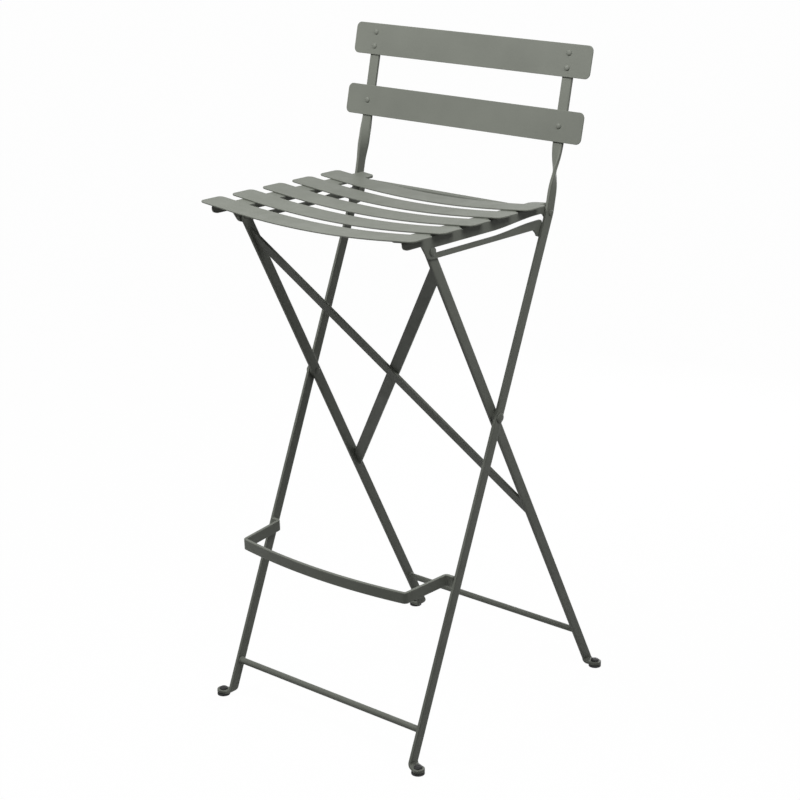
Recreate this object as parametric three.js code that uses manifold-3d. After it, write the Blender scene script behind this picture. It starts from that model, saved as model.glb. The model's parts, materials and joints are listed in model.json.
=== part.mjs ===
// A folding bar stool in flat steel bar and sheet: two long posts that carry the backrest, a
// pair of rear legs that cross them, and a slatted seat whose rails hinge on a rod at the back.
// Millimetres, +Z up, +Y towards the backrest. Each outline is drawn from the sizes below.
import * as THREE from "three";
import { mergeVertices } from "three/addons/utils/BufferGeometryUtils.js";
import Module from "manifold-3d";

const wasm = await Module();
wasm.setup();

// Side view: the two lines that cross, and the hinge and pivot on them.
const hingeHeight = 731.5; // floor to the rod that the seat hinges on
const pivotHeight = 463.4; // floor to the rivet where post and rear leg cross
const pinSetback = 62.62; // first slat's front edge to the pin at the rear leg's top
const pinDrop = 9.91; // hinge down to that pin
const postLeanDegrees = 21.75;
const backLeanDegrees = 11.9;

// Flat bar of the posts and rear legs.
const frameHalfWidth = 176.1; // centre plane to the posts' outer faces
const barWidth = 16;
const barThickness = 5;
const barEase = 0.5; // eased long edges

// Clearances.
const seatGap = 0.3; // between pieces that rest on each other
const slideGap = 0.5; // between plates that turn past each other
const boreGap = 0.25; // round a rod, rivet or stem

// Feet: the bar's end folds outwards into a round-ended tab that holds a rubber glide.
const tabHeight = 4; // floor to the tab's underside
const tabDiameter = 19;
const tabReach = 14; // bar's centre plane to the glide's axis
const footBend = 5.5; // bend radius at the bar's middle
const rearTabShare = 0.25; // how much of the rear leg's slope its tab keeps
const soleDiameter = 19;
const soleEase = 0.7;
const stemDiameter = 7;
const plugDiameter = 12.5;
const plugHeight = 3;

// Upper post: a quarter twist turns the bar's wide face to the front, behind the backrest.
const twistStart = 25; // along the back line from the hinge
const twistLength = 73;
const backInset = 1.6; // how far the twisted bar lies nearer to the centre plane
const postOverrun = 18.5; // top slat's middle to the posts' upper ends

// Backrest slats, at distances along the back line from the hinge.
const backSlatThickness = 2;
const topSlatRise = 206;
const topSlatWidth = 45;
const topSlatOverhang = 38; // past the middle of each post
const lowerSlatRise = 117.3;
const lowerSlatWidth = 43.4;
const lowerSlatOverhang = 39;
const slatCorner = 8;
const sheetEase = 0.4;
const backRivetDiameter = 8;
const backRivetHeight = 2;
const backRivetShank = 4.6;
const backRivetPitch = 20.4;

// Seat: dished slats across two rails.
const seatRise = 17; // hinge to the slats' top at their ends
const seatFront = 310; // hinge to the front edge of the first slat
const seatSlatCount = 5;
const seatRear = 27; // hinge to the rear edge of the last slat
const seatSlatWidth = 42.2;
const seatSlatThickness = 2;
const seatSlatOverhang = 19.4; // past each rail's outer face
const dishHalf = 140; // half-width of the curved middle, beyond which the ends run straight
const dishTiltDegrees = 5.5;

// Seat rails: a tilted flange under the slats and an upright web with the guide slot.
const railThickness = 3;
const flangeWidth = 28.6;
const flangeCorner = 9;
const flangeOverrun = 2.2; // flange past the hinge
const flangeSetback = 6; // rail's nose to the flange's front edge
const railSetback = 4.6; // first slat's front edge to the rail's nose
const noseDepth = 12.4;
const noseReach = 10.8;
const slotHeight = 8;
const slotLift = 0.8; // slot's middle above the pin at rest
const slotRunout = 2; // pin at rest to the centre of the slot's front end
const slotRise = 5;
const slotRiseFront = 122; // hinge to where the slot starts to rise
const slotRiseLength = 96;
const slotHookRadius = 8;
const slotHookBack = 15.8; // hinge to where the slot turns down
const lowerBar = 7; // material under the slot
const tabFront = 21.6; // pin to the front of the lug that holds it
const tabSlope = 14.5;
const beakReach = 29.5;
const beakDepth = 32.7;
const eyeRadius = 11.6; // web round the hinge rod

// Rods, rivets and pins.
const hingeRodDiameter = 7;
const hingeHeadDiameter = 9;
const hingeHeadHeight = 1.8;
const pivotHeadDiameter = 14;
const pivotHeadHeight = 3.2;
const pivotShank = 6;
const pivotTailDiameter = 9.5;
const pivotTailHeight = 2;
const spacerDiameter = 15;
const pinHeadDiameter = 12;
const pinHeadHeight = 2.3;
const pinStem = 4;
const legRivetDiameter = 10;
const legRivetHeight = 2;
const crossbarDiameter = 9.3;
const frontBarHeight = 52;
const rearBarHeight = 66.3;

// Diagonal braces between the rear legs.
const braceWidth = 17;
const braceThickness = 4;
const braceTopInset = 33.9; // pin at the leg's top to the brace's upper end, along the leg
const braceBottom = 182; // pivot to the brace's lower end, along the leg

// Footrest: one bent flat bar between the posts.
const footrestHeight = 249; // where it meets the posts
const footrestTiltDegrees = 2.8; // fall towards the front
const footrestDepth = 16;
const footrestThickness = 5;
const footrestHalf = 151; // centre plane to the bar's middle at the front corners
const footrestFlare = 7; // how much wider the arms end
const footrestReach = 85; // post line to the bar's middle at the front corners
const footrestBow = 13;
const footrestSetback = 6.2; // post line to the middle of the welded ends
const footrestBend = 4.5;

// Counts of facets.
const roundFacets = 20;
const domeSteps = 4;
const bendSteps = 5;
const twistSteps = 10;
const dishSteps = 19;
const cornerSteps = 4;
const bowSteps = 14;

// Derived places.
const postLean = THREE.MathUtils.degToRad(postLeanDegrees);
const backLean = THREE.MathUtils.degToRad(backLeanDegrees);
const dishTilt = THREE.MathUtils.degToRad(dishTiltDegrees);
const footrestTilt = THREE.MathUtils.degToRad(footrestTiltDegrees);
const postX = frameHalfWidth - barThickness / 2;
const postInner = frameHalfWidth - barThickness;
const webOuter = postInner - slideGap;
const webInner = webOuter - railThickness;
const legOuter = webInner - slideGap;
const legX = legOuter - barThickness / 2;
const legInner = legOuter - barThickness;
const hingeY = hingeHeight * Math.tan(postLean);
const pivotY = pivotHeight * Math.tan(postLean);
const pinY = pinSetback - seatFront;
const pinZ = -pinDrop;
const legAhead = pivotY - hingeY - pinY;
const legRise = hingeHeight - pinDrop - pivotHeight;
const legLean = Math.atan2(legAhead, legRise);
const legReach = Math.hypot(legAhead, legRise);
const rearBarDrop = (pivotHeight - rearBarHeight) / Math.cos(legLean);
const braceTop = legReach - braceTopInset;
const slotZ = pinZ + slotLift;
const backPostX = postX - backInset;
const topSlatHalf = backPostX + topSlatOverhang;
const lowerSlatHalf = backPostX + lowerSlatOverhang;
const postTop = topSlatRise + postOverrun;
const seatSlatHalf = webOuter + seatSlatOverhang;
const seatSlatPitch = (seatFront - seatRear - seatSlatWidth) / (seatSlatCount - 1);
const tabMiddle = tabHeight + barThickness / 2;

const slatPaint = new THREE.MeshStandardMaterial({
  color: 0x72756d,
  roughness: 0.5,
  metalness: 0.1,
  flatShading: true,
});
const framePaint = new THREE.MeshStandardMaterial({
  color: 0x72756d,
  roughness: 0.5,
  metalness: 0.1,
  flatShading: true,
});
const rubber = new THREE.MeshStandardMaterial({
  color: 0x121212,
  roughness: 0.85,
  metalness: 0,
  flatShading: true,
});

// Only the positions of a geometry, its shared corners merged and its faces turned outwards.
function outward(geometry) {
  const bare = geometry.clone();
  bare.deleteAttribute("normal");
  bare.deleteAttribute("uv");
  const merged = mergeVertices(bare);
  const place = merged.getAttribute("position");
  const faces = merged.index.array;
  const corner = [new THREE.Vector3(), new THREE.Vector3(), new THREE.Vector3()];
  let volume = 0;
  for (let i = 0; i < faces.length; i += 3) {
    corner.forEach((point, k) => point.fromBufferAttribute(place, faces[i + k]));
    volume += corner[0].dot(corner[1].cross(corner[2]));
  }
  if (volume < 0) {
    for (let i = 0; i < faces.length; i += 3) {
      [faces[i + 1], faces[i + 2]] = [faces[i + 2], faces[i + 1]];
    }
  }
  return merged;
}

function solidOf(geometry) {
  const closed = outward(geometry);
  return new wasm.Manifold(
    new wasm.Mesh({
      numProp: 3,
      vertProperties: closed.getAttribute("position").array,
      triVerts: new Uint32Array(closed.index.array),
    }),
  );
}

function geometryOf(solid) {
  const mesh = solid.getMesh();
  const geometry = new THREE.BufferGeometry();
  geometry.setAttribute("position", new THREE.BufferAttribute(mesh.vertProperties, 3));
  geometry.setIndex(new THREE.BufferAttribute(mesh.triVerts, 1));
  return geometry;
}

function cut(geometry, cutters) {
  let solid = solidOf(geometry);
  for (const cutter of cutters) {
    solid = solid.subtract(solidOf(cutter));
  }
  return geometryOf(solid);
}

function join(geometries) {
  let solid = solidOf(geometries[0]);
  for (const geometry of geometries.slice(1)) {
    solid = solid.add(solidOf(geometry));
  }
  return geometryOf(solid);
}

// A closed surface through rings of points, capped at both ends.
function loft(rings) {
  const count = rings[0].length;
  const faces = [];
  for (let i = 0; i + 1 < rings.length; i++) {
    for (let j = 0; j < count; j++) {
      const a = i * count + j;
      const b = i * count + ((j + 1) % count);
      faces.push(a, b, b + count, a, b + count, a + count);
    }
  }
  const last = (rings.length - 1) * count;
  for (let j = 1; j + 1 < count; j++) {
    faces.push(0, j + 1, j, last, last + j, last + j + 1);
  }
  const geometry = new THREE.BufferGeometry().setFromPoints(rings.flat());
  geometry.setIndex(faces);
  return outward(geometry);
}

// One cross-section of a bar: `across` and `through` reach from its middle to its faces.
function section(middle, across, through, ease) {
  const shortAcross = across.clone().setLength(across.length() - ease);
  const shortThrough = through.clone().setLength(through.length() - ease);
  const corners = [
    [shortAcross, through, 1, 1],
    [across, shortThrough, 1, 1],
    [across, shortThrough, 1, -1],
    [shortAcross, through, 1, -1],
    [shortAcross, through, -1, -1],
    [across, shortThrough, -1, -1],
    [across, shortThrough, -1, 1],
    [shortAcross, through, -1, 1],
  ];
  return corners.map(([a, t, signA, signT]) =>
    middle.clone().addScaledVector(a, signA).addScaledVector(t, signT),
  );
}

// A cylinder along X.
function rodAlongX(radius, length) {
  return new THREE.CylinderGeometry(radius, radius, length, roundFacets).rotateZ(Math.PI / 2);
}

// A flat disc along Z with eased rims.
function disc(radius, thickness, ease) {
  const half = thickness / 2;
  const profile = [
    new THREE.Vector2(0, -half),
    new THREE.Vector2(radius - ease, -half),
    new THREE.Vector2(radius, ease - half),
    new THREE.Vector2(radius, half - ease),
    new THREE.Vector2(radius - ease, half),
    new THREE.Vector2(0, half),
  ];
  return new THREE.LatheGeometry(profile, roundFacets).rotateX(Math.PI / 2);
}

// Profile points of a dome that stands on `base` and shrinks to the axis, along `sign`.
function domeProfile(radius, height, base, sign) {
  const points = [];
  for (let i = 0; i <= domeSteps; i++) {
    const turn = (i / domeSteps) * (Math.PI / 2);
    const rise = base + sign * height * Math.sin(turn);
    points.push(new THREE.Vector2(i < domeSteps ? radius * Math.cos(turn) : 0, rise));
  }
  return points;
}

// A rivet along +X: its domed head stands on x = 0 and its shank reaches back to -length. A
// tail of some height is a second dome past the shank's end.
function rivet(headRadius, headHeight, shankRadius, length, tailRadius, tailHeight) {
  const head = domeProfile(headRadius, headHeight, 0, 1).reverse();
  const tail =
    tailHeight > 0
      ? domeProfile(tailRadius, tailHeight, -length, -1)
      : [new THREE.Vector2(0, -length)];
  const profile = [
    ...head,
    new THREE.Vector2(shankRadius, 0),
    new THREE.Vector2(shankRadius, -length),
    ...tail,
  ];
  return outward(new THREE.LatheGeometry(profile, roundFacets).rotateZ(-Math.PI / 2));
}

function named(name, geometry, material) {
  const mesh = new THREE.Mesh(geometry, material);
  mesh.name = name;
  return mesh;
}

const sides = [
  ["left", -1],
  ["right", 1],
];

// Sections of a leaning bar from its foot tab up to the end of the bend. Going down, the bar
// moves by `drift` in Y for each unit of height, and by `tabDrift` along the folded tab.
function footSections(side, drift, tabDrift) {
  const across = new THREE.Vector3(0, (barWidth / 2) * Math.hypot(1, drift), 0);
  const bendTop = tabMiddle + footBend;
  const sections = [];
  const flatTab = tabReach - footBend;
  const arc = footBend * (Math.PI / 2);
  const placeY = (down) => tabDrift * down - drift * bendTop;
  sections.push(
    section(
      new THREE.Vector3(side * tabReach, placeY(arc + flatTab), tabMiddle),
      across,
      new THREE.Vector3(0, 0, barThickness / 2),
      barEase,
    ),
  );
  for (let i = bendSteps; i >= 0; i--) {
    const turn = (i / bendSteps) * (Math.PI / 2);
    const middle = new THREE.Vector3(
      side * footBend * (1 - Math.cos(turn)),
      placeY(footBend * turn),
      bendTop - footBend * Math.sin(turn),
    );
    const through = new THREE.Vector3(side * Math.cos(turn), 0, Math.sin(turn));
    through.multiplyScalar(barThickness / 2);
    sections.push(section(middle, across, through, barEase));
  }
  return sections;
}

// Where the glide's axis meets the tab, for a bar whose line passes through y = 0 at the floor.
function glideY(drift, tabDrift) {
  const arc = footBend * (Math.PI / 2);
  return tabDrift * (arc + tabReach - footBend) - drift * (tabMiddle + footBend);
}

function tabDisc(side, y) {
  const end = disc(tabDiameter / 2, barThickness, barEase);
  return end.translate(side * tabReach, y, tabMiddle);
}

function tabBore(side, y) {
  const bore = disc(stemDiameter / 2 + boreGap, barThickness * 2, barEase);
  return bore.translate(side * tabReach, y, tabMiddle);
}

function glide() {
  const sole = soleDiameter / 2;
  const top = tabHeight + barThickness + seatGap;
  const profile = [
    new THREE.Vector2(0, 0),
    new THREE.Vector2(sole - soleEase, 0),
    new THREE.Vector2(sole, soleEase),
    new THREE.Vector2(sole, tabHeight - seatGap),
    new THREE.Vector2(stemDiameter / 2, tabHeight - seatGap),
    new THREE.Vector2(stemDiameter / 2, top),
    ...domeProfile(plugDiameter / 2, plugHeight, top, 1),
  ];
  return outward(new THREE.LatheGeometry(profile, roundFacets).rotateX(Math.PI / 2));
}

// Unit vectors along the back line and square to it, towards the rear.
const backLine = new THREE.Vector3(0, Math.sin(backLean), Math.cos(backLean));
const backNormal = new THREE.Vector3(0, Math.cos(backLean), -Math.sin(backLean));
const rivetRises = {
  top: [topSlatRise - backRivetPitch / 2, topSlatRise + backRivetPitch / 2],
  lower: [lowerSlatRise],
};

// A hole for one backrest rivet, in the frame of the hinge.
function backBore(x, rise) {
  const radius = backRivetShank / 2 + boreGap;
  const length = (barThickness + backSlatThickness) * 4;
  const bore = new THREE.CylinderGeometry(radius, radius, length, roundFacets);
  return bore.rotateX(-backLean).translate(x, rise * backLine.y, rise * backLine.z);
}

function post(side) {
  const drift = -Math.tan(postLean);
  const sections = footSections(side, drift, drift);
  const footY = glideY(drift, drift);
  const hinge = new THREE.Vector3(0, hingeY, hingeHeight);
  const mitre = (postLean + backLean) / 2;
  const mitreReach = barWidth / 2 / Math.cos((postLean - backLean) / 2);
  const mitreAcross = new THREE.Vector3(0, Math.cos(mitre), -Math.sin(mitre));
  const outer = new THREE.Vector3((side * barThickness) / 2, 0, 0);
  sections.push(section(hinge, mitreAcross.multiplyScalar(mitreReach), outer, barEase));
  for (let i = 0; i <= twistSteps; i++) {
    const share = i / twistSteps;
    const eased = share * share * (3 - 2 * share);
    const turn = eased * (Math.PI / 2);
    const middle = hinge.clone().addScaledVector(backLine, twistStart + share * twistLength);
    middle.x -= side * backInset * eased;
    const across = backNormal.clone().multiplyScalar(Math.cos(turn));
    across.x -= side * Math.sin(turn);
    const through = backNormal.clone().multiplyScalar(Math.sin(turn));
    through.x += side * Math.cos(turn);
    sections.push(
      section(
        middle,
        across.multiplyScalar(barWidth / 2),
        through.multiplyScalar(barThickness / 2),
        barEase,
      ),
    );
  }
  const end = hinge.clone().addScaledVector(backLine, postTop);
  end.x -= side * backInset;
  sections.push(
    section(
      end,
      new THREE.Vector3((-side * barWidth) / 2, 0, 0),
      backNormal.clone().multiplyScalar(barThickness / 2),
      barEase,
    ),
  );
  const body = join([loft(sections), tabDisc(side, footY)]);
  const across = barThickness * 2;
  const bores = [
    tabBore(side, footY),
    rodAlongX(hingeRodDiameter / 2 + boreGap, across).translate(0, hingeY, hingeHeight),
    rodAlongX(pivotShank / 2 + boreGap, across).translate(0, pivotY, pivotHeight),
  ];
  for (const rise of [...rivetRises.top, ...rivetRises.lower]) {
    bores.push(backBore(-side * backInset, rise).translate(0, hingeY, hingeHeight));
  }
  return cut(body, bores);
}

// A rear leg, in a frame whose origin is the pivot and whose floor lies below it.
function rearLeg(side) {
  const drift = Math.tan(legLean);
  const floorY = pivotHeight * drift;
  const sections = footSections(side, drift, drift * rearTabShare);
  const footY = glideY(drift, drift * rearTabShare);
  const top = new THREE.Vector3(0, -(pivotHeight + pinTop()) * drift, pivotHeight + pinTop());
  const across = new THREE.Vector3(0, Math.cos(legLean), Math.sin(legLean));
  const outer = new THREE.Vector3((side * barThickness) / 2, 0, 0);
  sections.push(section(top, across.multiplyScalar(barWidth / 2), outer, barEase));
  const eye = disc(barWidth / 2, barThickness, barEase).rotateY(Math.PI / 2);
  eye.translate(top.x, top.y, top.z);
  const body = join([loft(sections), tabDisc(side, footY), eye]);
  const through = barThickness * 2;
  const bores = [
    tabBore(side, footY),
    rodAlongX(pivotShank / 2 + boreGap, through).translate(0, -floorY, pivotHeight),
    rodAlongX(pinStem / 2 + boreGap, through).translate(top.x, top.y, top.z),
  ];
  return cut(body, bores).translate(0, floorY, -pivotHeight);
}

// Height of the pin at the leg's top above the pivot.
function pinTop() {
  return legReach * Math.cos(legLean);
}

// Half-length stations of a slat whose corners are rounded, from one end to the other.
function slatStations(half, width, inner) {
  const end = [];
  for (let i = 0; i <= cornerSteps; i++) {
    const turn = (i / cornerSteps) * (Math.PI / 2);
    end.push({
      x: half - slatCorner + slatCorner * Math.sin(turn),
      reach: width / 2 - slatCorner + slatCorner * Math.cos(turn),
    });
  }
  const mirrored = end.map(({ x, reach }) => ({ x: -x, reach })).reverse();
  return [...mirrored, ...inner.map((x) => ({ x, reach: width / 2 })), ...end];
}

function backSlat(half, width, rises, rise) {
  const sections = slatStations(half, width, []).map(({ x, reach }) =>
    section(
      new THREE.Vector3(x, 0, 0),
      new THREE.Vector3(0, 0, reach),
      new THREE.Vector3(0, backSlatThickness / 2, 0),
      sheetEase,
    ),
  );
  const radius = backRivetShank / 2 + boreGap;
  const bores = [];
  for (const [, side] of sides) {
    for (const place of rises) {
      const bore = new THREE.CylinderGeometry(
        radius,
        radius,
        backSlatThickness * 2,
        roundFacets,
      );
      bores.push(bore.translate(side * backPostX, 0, place - rise));
    }
  }
  return cut(loft(sections), bores);
}

// The dish's rise above its lowest line, and its tilt, at a distance from the centre plane.
function dishAt(x) {
  const reach = Math.min(Math.abs(x), dishHalf);
  const radius = dishHalf / Math.sin(dishTilt);
  const rise = radius - Math.sqrt(radius * radius - reach * reach);
  return {
    rise: rise + (Math.abs(x) - reach) * Math.tan(dishTilt),
    tilt: Math.asin(reach / radius) * Math.sign(x),
  };
}

// Height of the slats' top above the hinge.
function slatTop(x) {
  return seatRise - dishAt(seatSlatHalf).rise + dishAt(x).rise;
}

function seatSlat() {
  const inner = [];
  for (let i = 0; i <= dishSteps; i++) {
    inner.push(dishHalf * ((2 * i) / dishSteps - 1));
  }
  const sections = slatStations(seatSlatHalf, seatSlatWidth, inner).map(({ x, reach }) => {
    const { tilt } = dishAt(x);
    const normal = new THREE.Vector3(-Math.sin(tilt), 0, Math.cos(tilt));
    const middle = new THREE.Vector3(x, 0, slatTop(x));
    middle.addScaledVector(normal, -seatSlatThickness / 2);
    return section(
      middle,
      new THREE.Vector3(0, reach, 0),
      normal.multiplyScalar(seatSlatThickness / 2),
      sheetEase,
    );
  });
  return loft(sections);
}

// Height of the flange's top above the hinge, under the slats' straight ends.
function flangeTop(x) {
  return slatTop(x) - (seatSlatThickness + seatGap) / Math.cos(dishTilt);
}

const railFront = railSetback - seatFront;
const flangeFront = railFront + flangeSetback;
const flangeThickness = railThickness / Math.cos(dishTilt);
const webTop = flangeTop(webInner) - flangeThickness / 2;

// The flange's outline runs inwards from the web's outer face; it is then sheared to its tilt.
function flange(side) {
  const outline = new THREE.Shape();
  const turn = Math.PI / 2;
  const inner = flangeWidth - flangeCorner;
  outline.moveTo(0, flangeFront);
  outline.absarc(inner, flangeFront + flangeCorner, flangeCorner, -turn, 0, false);
  outline.absarc(inner, flangeOverrun - flangeCorner, flangeCorner, 0, turn, false);
  outline.lineTo(0, flangeOverrun);
  const plate = new THREE.ExtrudeGeometry(outline, {
    depth: flangeThickness,
    bevelEnabled: false,
    curveSegments: cornerSteps,
  });
  const lowest = flangeTop(webOuter) - flangeThickness;
  const fall = -Math.tan(dishTilt);
  const place = new THREE.Matrix4().set(
    ...[-side, 0, 0, side * webOuter],
    ...[0, 1, 0, 0],
    ...[fall, 0, 1, lowest],
    ...[0, 0, 0, 1],
  );
  return outward(plate.applyMatrix4(place));
}

// The slot's middle line: level from the pin, a gentle rise, then a hook down at the hinge.
function slotMiddle() {
  const points = [];
  points.push(new THREE.Vector2(pinY - slotRunout, slotZ));
  for (let i = 0; i <= twistSteps; i++) {
    const share = i / twistSteps;
    const eased = share * share * (3 - 2 * share);
    const along = -slotRiseFront + share * slotRiseLength;
    points.push(new THREE.Vector2(along, slotZ + slotRise * eased));
  }
  for (let i = 0; i <= bendSteps; i++) {
    const turn = (i / bendSteps) * (Math.PI / 2);
    points.push(
      new THREE.Vector2(
        slotHookRadius * Math.sin(turn) - slotHookBack,
        slotZ + slotRise - slotHookRadius * (1 - Math.cos(turn)),
      ),
    );
  }
  return points;
}

// A closed outline at an even distance on both sides of a line, with flat or round ends.
function ribbon(points, reach, rounded) {
  const front = [];
  const back = [];
  const direction = (i) => {
    const from = points[Math.max(i - 1, 0)];
    const to = points[Math.min(i + 1, points.length - 1)];
    const before = points[i].clone().sub(from).normalize();
    const after = to.clone().sub(points[i]).normalize();
    return before.add(after).normalize();
  };
  points.forEach((point, i) => {
    const along = direction(i);
    const segment = i > 0 ? point.clone().sub(points[i - 1]) : points[1].clone().sub(point);
    const widen = reach / Math.abs(along.dot(segment.normalize()));
    const normal = new THREE.Vector2(-along.y, along.x).multiplyScalar(widen);
    front.push(point.clone().add(normal));
    back.push(point.clone().sub(normal));
  });
  const cap = (i, start) => {
    const arc = [];
    for (let k = 1; rounded && k < cornerSteps * 2; k++) {
      const turn = start + (k / (cornerSteps * 2)) * -Math.PI;
      arc.push(
        new THREE.Vector2(
          points[i].x + reach * Math.cos(turn),
          points[i].y + reach * Math.sin(turn),
        ),
      );
    }
    return arc;
  };
  const last = points.length - 1;
  const endTurn = direction(last).angle() + Math.PI / 2;
  const startTurn = direction(0).angle() - Math.PI / 2;
  return [...front, ...cap(last, endTurn), ...back.reverse(), ...cap(0, startTurn)];
}

// Rounds the lower nose, the pin's lug and the beak with curves through these corners.
const beakShares = [
  [1, 0.642],
  [0.83, 0.78],
  [0.745, 0.911],
  [0.49, 1],
];
const heelShares = [
  [0.09, 1.05],
  [-0.12, 0.86],
];
const lugShare = 0.3; // of the lug's slope, from its lower end, that runs straight

function webOutline() {
  const outline = new THREE.Shape();
  const underside = slotZ - slotHeight / 2 - lowerBar;
  const noseBottom = flangeTop(webOuter) - noseDepth;
  const lugFront = pinY - tabFront;
  outline.moveTo(railFront, webTop);
  outline.quadraticCurveTo(railFront, noseBottom, railFront + noseReach, noseBottom);
  outline.lineTo(lugFront, noseBottom);
  const lugSlopeEnd = new THREE.Vector2(lugFront + tabSlope, underside);
  const slope = lugSlopeEnd.clone().lerp(new THREE.Vector2(lugFront, noseBottom), lugShare);
  outline.lineTo(slope.x, slope.y);
  outline.quadraticCurveTo(lugSlopeEnd.x, underside, pinY, underside);
  outline.lineTo(-beakReach, underside);
  for (const [along, down] of beakShares) {
    outline.lineTo(-beakReach * along, -beakDepth * down);
  }
  const [control, end] = heelShares;
  outline.quadraticCurveTo(
    -beakReach * control[0],
    -beakDepth * control[1],
    -beakReach * end[0],
    -beakDepth * end[1],
  );
  const rise = Math.asin(Math.min(webTop / eyeRadius, 1));
  outline.absarc(0, 0, eyeRadius, -Math.PI / 6, rise, false);
  return outline;
}

function seatRail(side) {
  const outline = webOutline();
  outline.holes.push(new THREE.Path(ribbon(slotMiddle(), slotHeight / 2, true)));
  const eye = new THREE.Path();
  eye.absarc(0, 0, hingeRodDiameter / 2 + boreGap, 0, Math.PI * 2, true);
  outline.holes.push(eye);
  const web = new THREE.ExtrudeGeometry(outline, {
    depth: railThickness,
    bevelEnabled: false,
    curveSegments: roundFacets / 2,
  });
  const turned = new THREE.Matrix4().makeBasis(
    new THREE.Vector3(0, 1, 0),
    new THREE.Vector3(0, 0, 1),
    new THREE.Vector3(1, 0, 0),
  );
  web.applyMatrix4(turned);
  web.translate(side > 0 ? webInner : -webOuter, 0, 0);
  return join([web, flange(side)]);
}

// A straight brace from one leg to the other, in the frame of the leg plane.
function brace(side) {
  const reach = legInner - seatGap;
  const fall = (braceTop + braceBottom) / (reach * 2);
  const across = new THREE.Vector3(0, 0, (braceWidth / 2) * Math.hypot(1, fall));
  const through = new THREE.Vector3(0, braceThickness / 2, 0);
  return loft([
    section(new THREE.Vector3(-side * reach, 0, braceTop), across, through, barEase),
    section(new THREE.Vector3(side * reach, 0, -braceBottom), across, through, barEase),
  ]);
}

// Corner points of a line, each rounded by an arc of the bend's radius.
function rounded(corners, radius) {
  const points = [corners[0].clone()];
  for (let i = 1; i + 1 < corners.length; i++) {
    const before = corners[i - 1].clone().sub(corners[i]).normalize();
    const after = corners[i + 1].clone().sub(corners[i]).normalize();
    const half = Math.acos(before.dot(after)) / 2;
    const middle = before.clone().add(after).setLength(radius / Math.sin(half));
    const centre = corners[i].clone().add(middle);
    const tangent = radius / Math.tan(half);
    const from = corners[i].clone().addScaledVector(before, tangent).sub(centre);
    const to = corners[i].clone().addScaledVector(after, tangent).sub(centre);
    const sweep = Math.atan2(from.cross(to), from.dot(to));
    for (let k = 0; k <= bendSteps; k++) {
      const spoke = from.clone().rotateAround(new THREE.Vector2(), (sweep * k) / bendSteps);
      points.push(centre.clone().add(spoke));
    }
  }
  points.push(corners[corners.length - 1].clone());
  return points;
}

// The footrest's bar, from the line where it meets the posts.
function footrest() {
  const arch = (x) => -footrestReach - footrestBow * (1 - (x / footrestHalf) ** 2);
  const step = (footrestHalf * 2) / bowSteps;
  const half = [
    new THREE.Vector2(postInner - seatGap, -footrestSetback),
    new THREE.Vector2(footrestHalf + footrestFlare, -footrestSetback),
    new THREE.Vector2(footrestHalf, -footrestReach),
    new THREE.Vector2(footrestHalf - step, arch(footrestHalf - step)),
  ];
  const right = rounded(half, footrestBend);
  const left = right.map(({ x, y }) => new THREE.Vector2(-x, y)).reverse();
  const middle = [];
  for (let i = 2; i < bowSteps - 1; i++) {
    const x = footrestHalf - step * i;
    middle.push(new THREE.Vector2(x, arch(x)));
  }
  const outline = new THREE.Shape(
    ribbon([...right, ...middle, ...left], footrestThickness / 2, false),
  );
  const bar = new THREE.ExtrudeGeometry(outline, {
    depth: footrestDepth,
    bevelEnabled: false,
  });
  return outward(bar.translate(0, 0, -footrestDepth / 2));
}

// Spacer ring between post and rear leg, along X.
function spacer() {
  const length = postInner - legOuter - seatGap * 2;
  const inner = pivotShank / 2 + boreGap;
  const ring = new THREE.Shape();
  ring.absarc(0, 0, spacerDiameter / 2, 0, Math.PI * 2, false);
  const bore = new THREE.Path();
  bore.absarc(0, 0, inner, 0, Math.PI * 2, true);
  ring.holes.push(bore);
  const plate = new THREE.ExtrudeGeometry(ring, {
    depth: length,
    bevelEnabled: false,
    curveSegments: roundFacets / 2,
  });
  return outward(plate.translate(0, 0, -length / 2).rotateY(Math.PI / 2));
}

const stool = new THREE.Group();

// The posts with what is fixed to them.
const frame = new THREE.Group();
stool.add(frame);
const backrest = new THREE.Group();
backrest.position.set(0, hingeY, hingeHeight);
backrest.rotation.x = -backLean;
frame.add(backrest);

const frontFootY = glideY(-Math.tan(postLean), -Math.tan(postLean));
for (const [label, side] of sides) {
  const upright = named("post_" + label, post(side), framePaint);
  upright.position.x = side * postX;
  frame.add(upright);

  const shoe = named("glide_front_" + label, glide(), rubber);
  shoe.position.set(side * (postX + tabReach), frontFootY, 0);
  frame.add(shoe);

  const grip = frameHalfWidth - legInner + seatGap * 2;
  const pivot = named(
    "leg_pivot_rivet_" + label,
    rivet(
      pivotHeadDiameter / 2,
      pivotHeadHeight,
      pivotShank / 2,
      grip,
      pivotTailDiameter / 2,
      pivotTailHeight,
    ),
    framePaint,
  );
  pivot.position.set(side * (frameHalfWidth + seatGap), pivotY, pivotHeight);
  pivot.rotation.z = side > 0 ? 0 : Math.PI;
  frame.add(pivot);

  const ring = named("pivot_spacer_" + label, spacer(), framePaint);
  ring.position.set((side * (postInner + legOuter)) / 2, pivotY, pivotHeight);
  frame.add(ring);

  const shankLength = seatGap * 2 + backSlatThickness + barThickness;
  const headPlace = -(barThickness / 2 + seatGap * 2 + backSlatThickness);
  for (const [slat, rises] of Object.entries(rivetRises)) {
    rises.forEach((rise, i) => {
      const stud = named(
        "back_rivet_" + slat + "_" + label + "_" + (i + 1),
        rivet(backRivetDiameter / 2, backRivetHeight, backRivetShank / 2, shankLength, 0, 0),
        slatPaint,
      );
      stud.position.set(side * backPostX, headPlace, rise);
      stud.rotation.z = -Math.PI / 2;
      backrest.add(stud);
    });
  }
}

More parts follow.
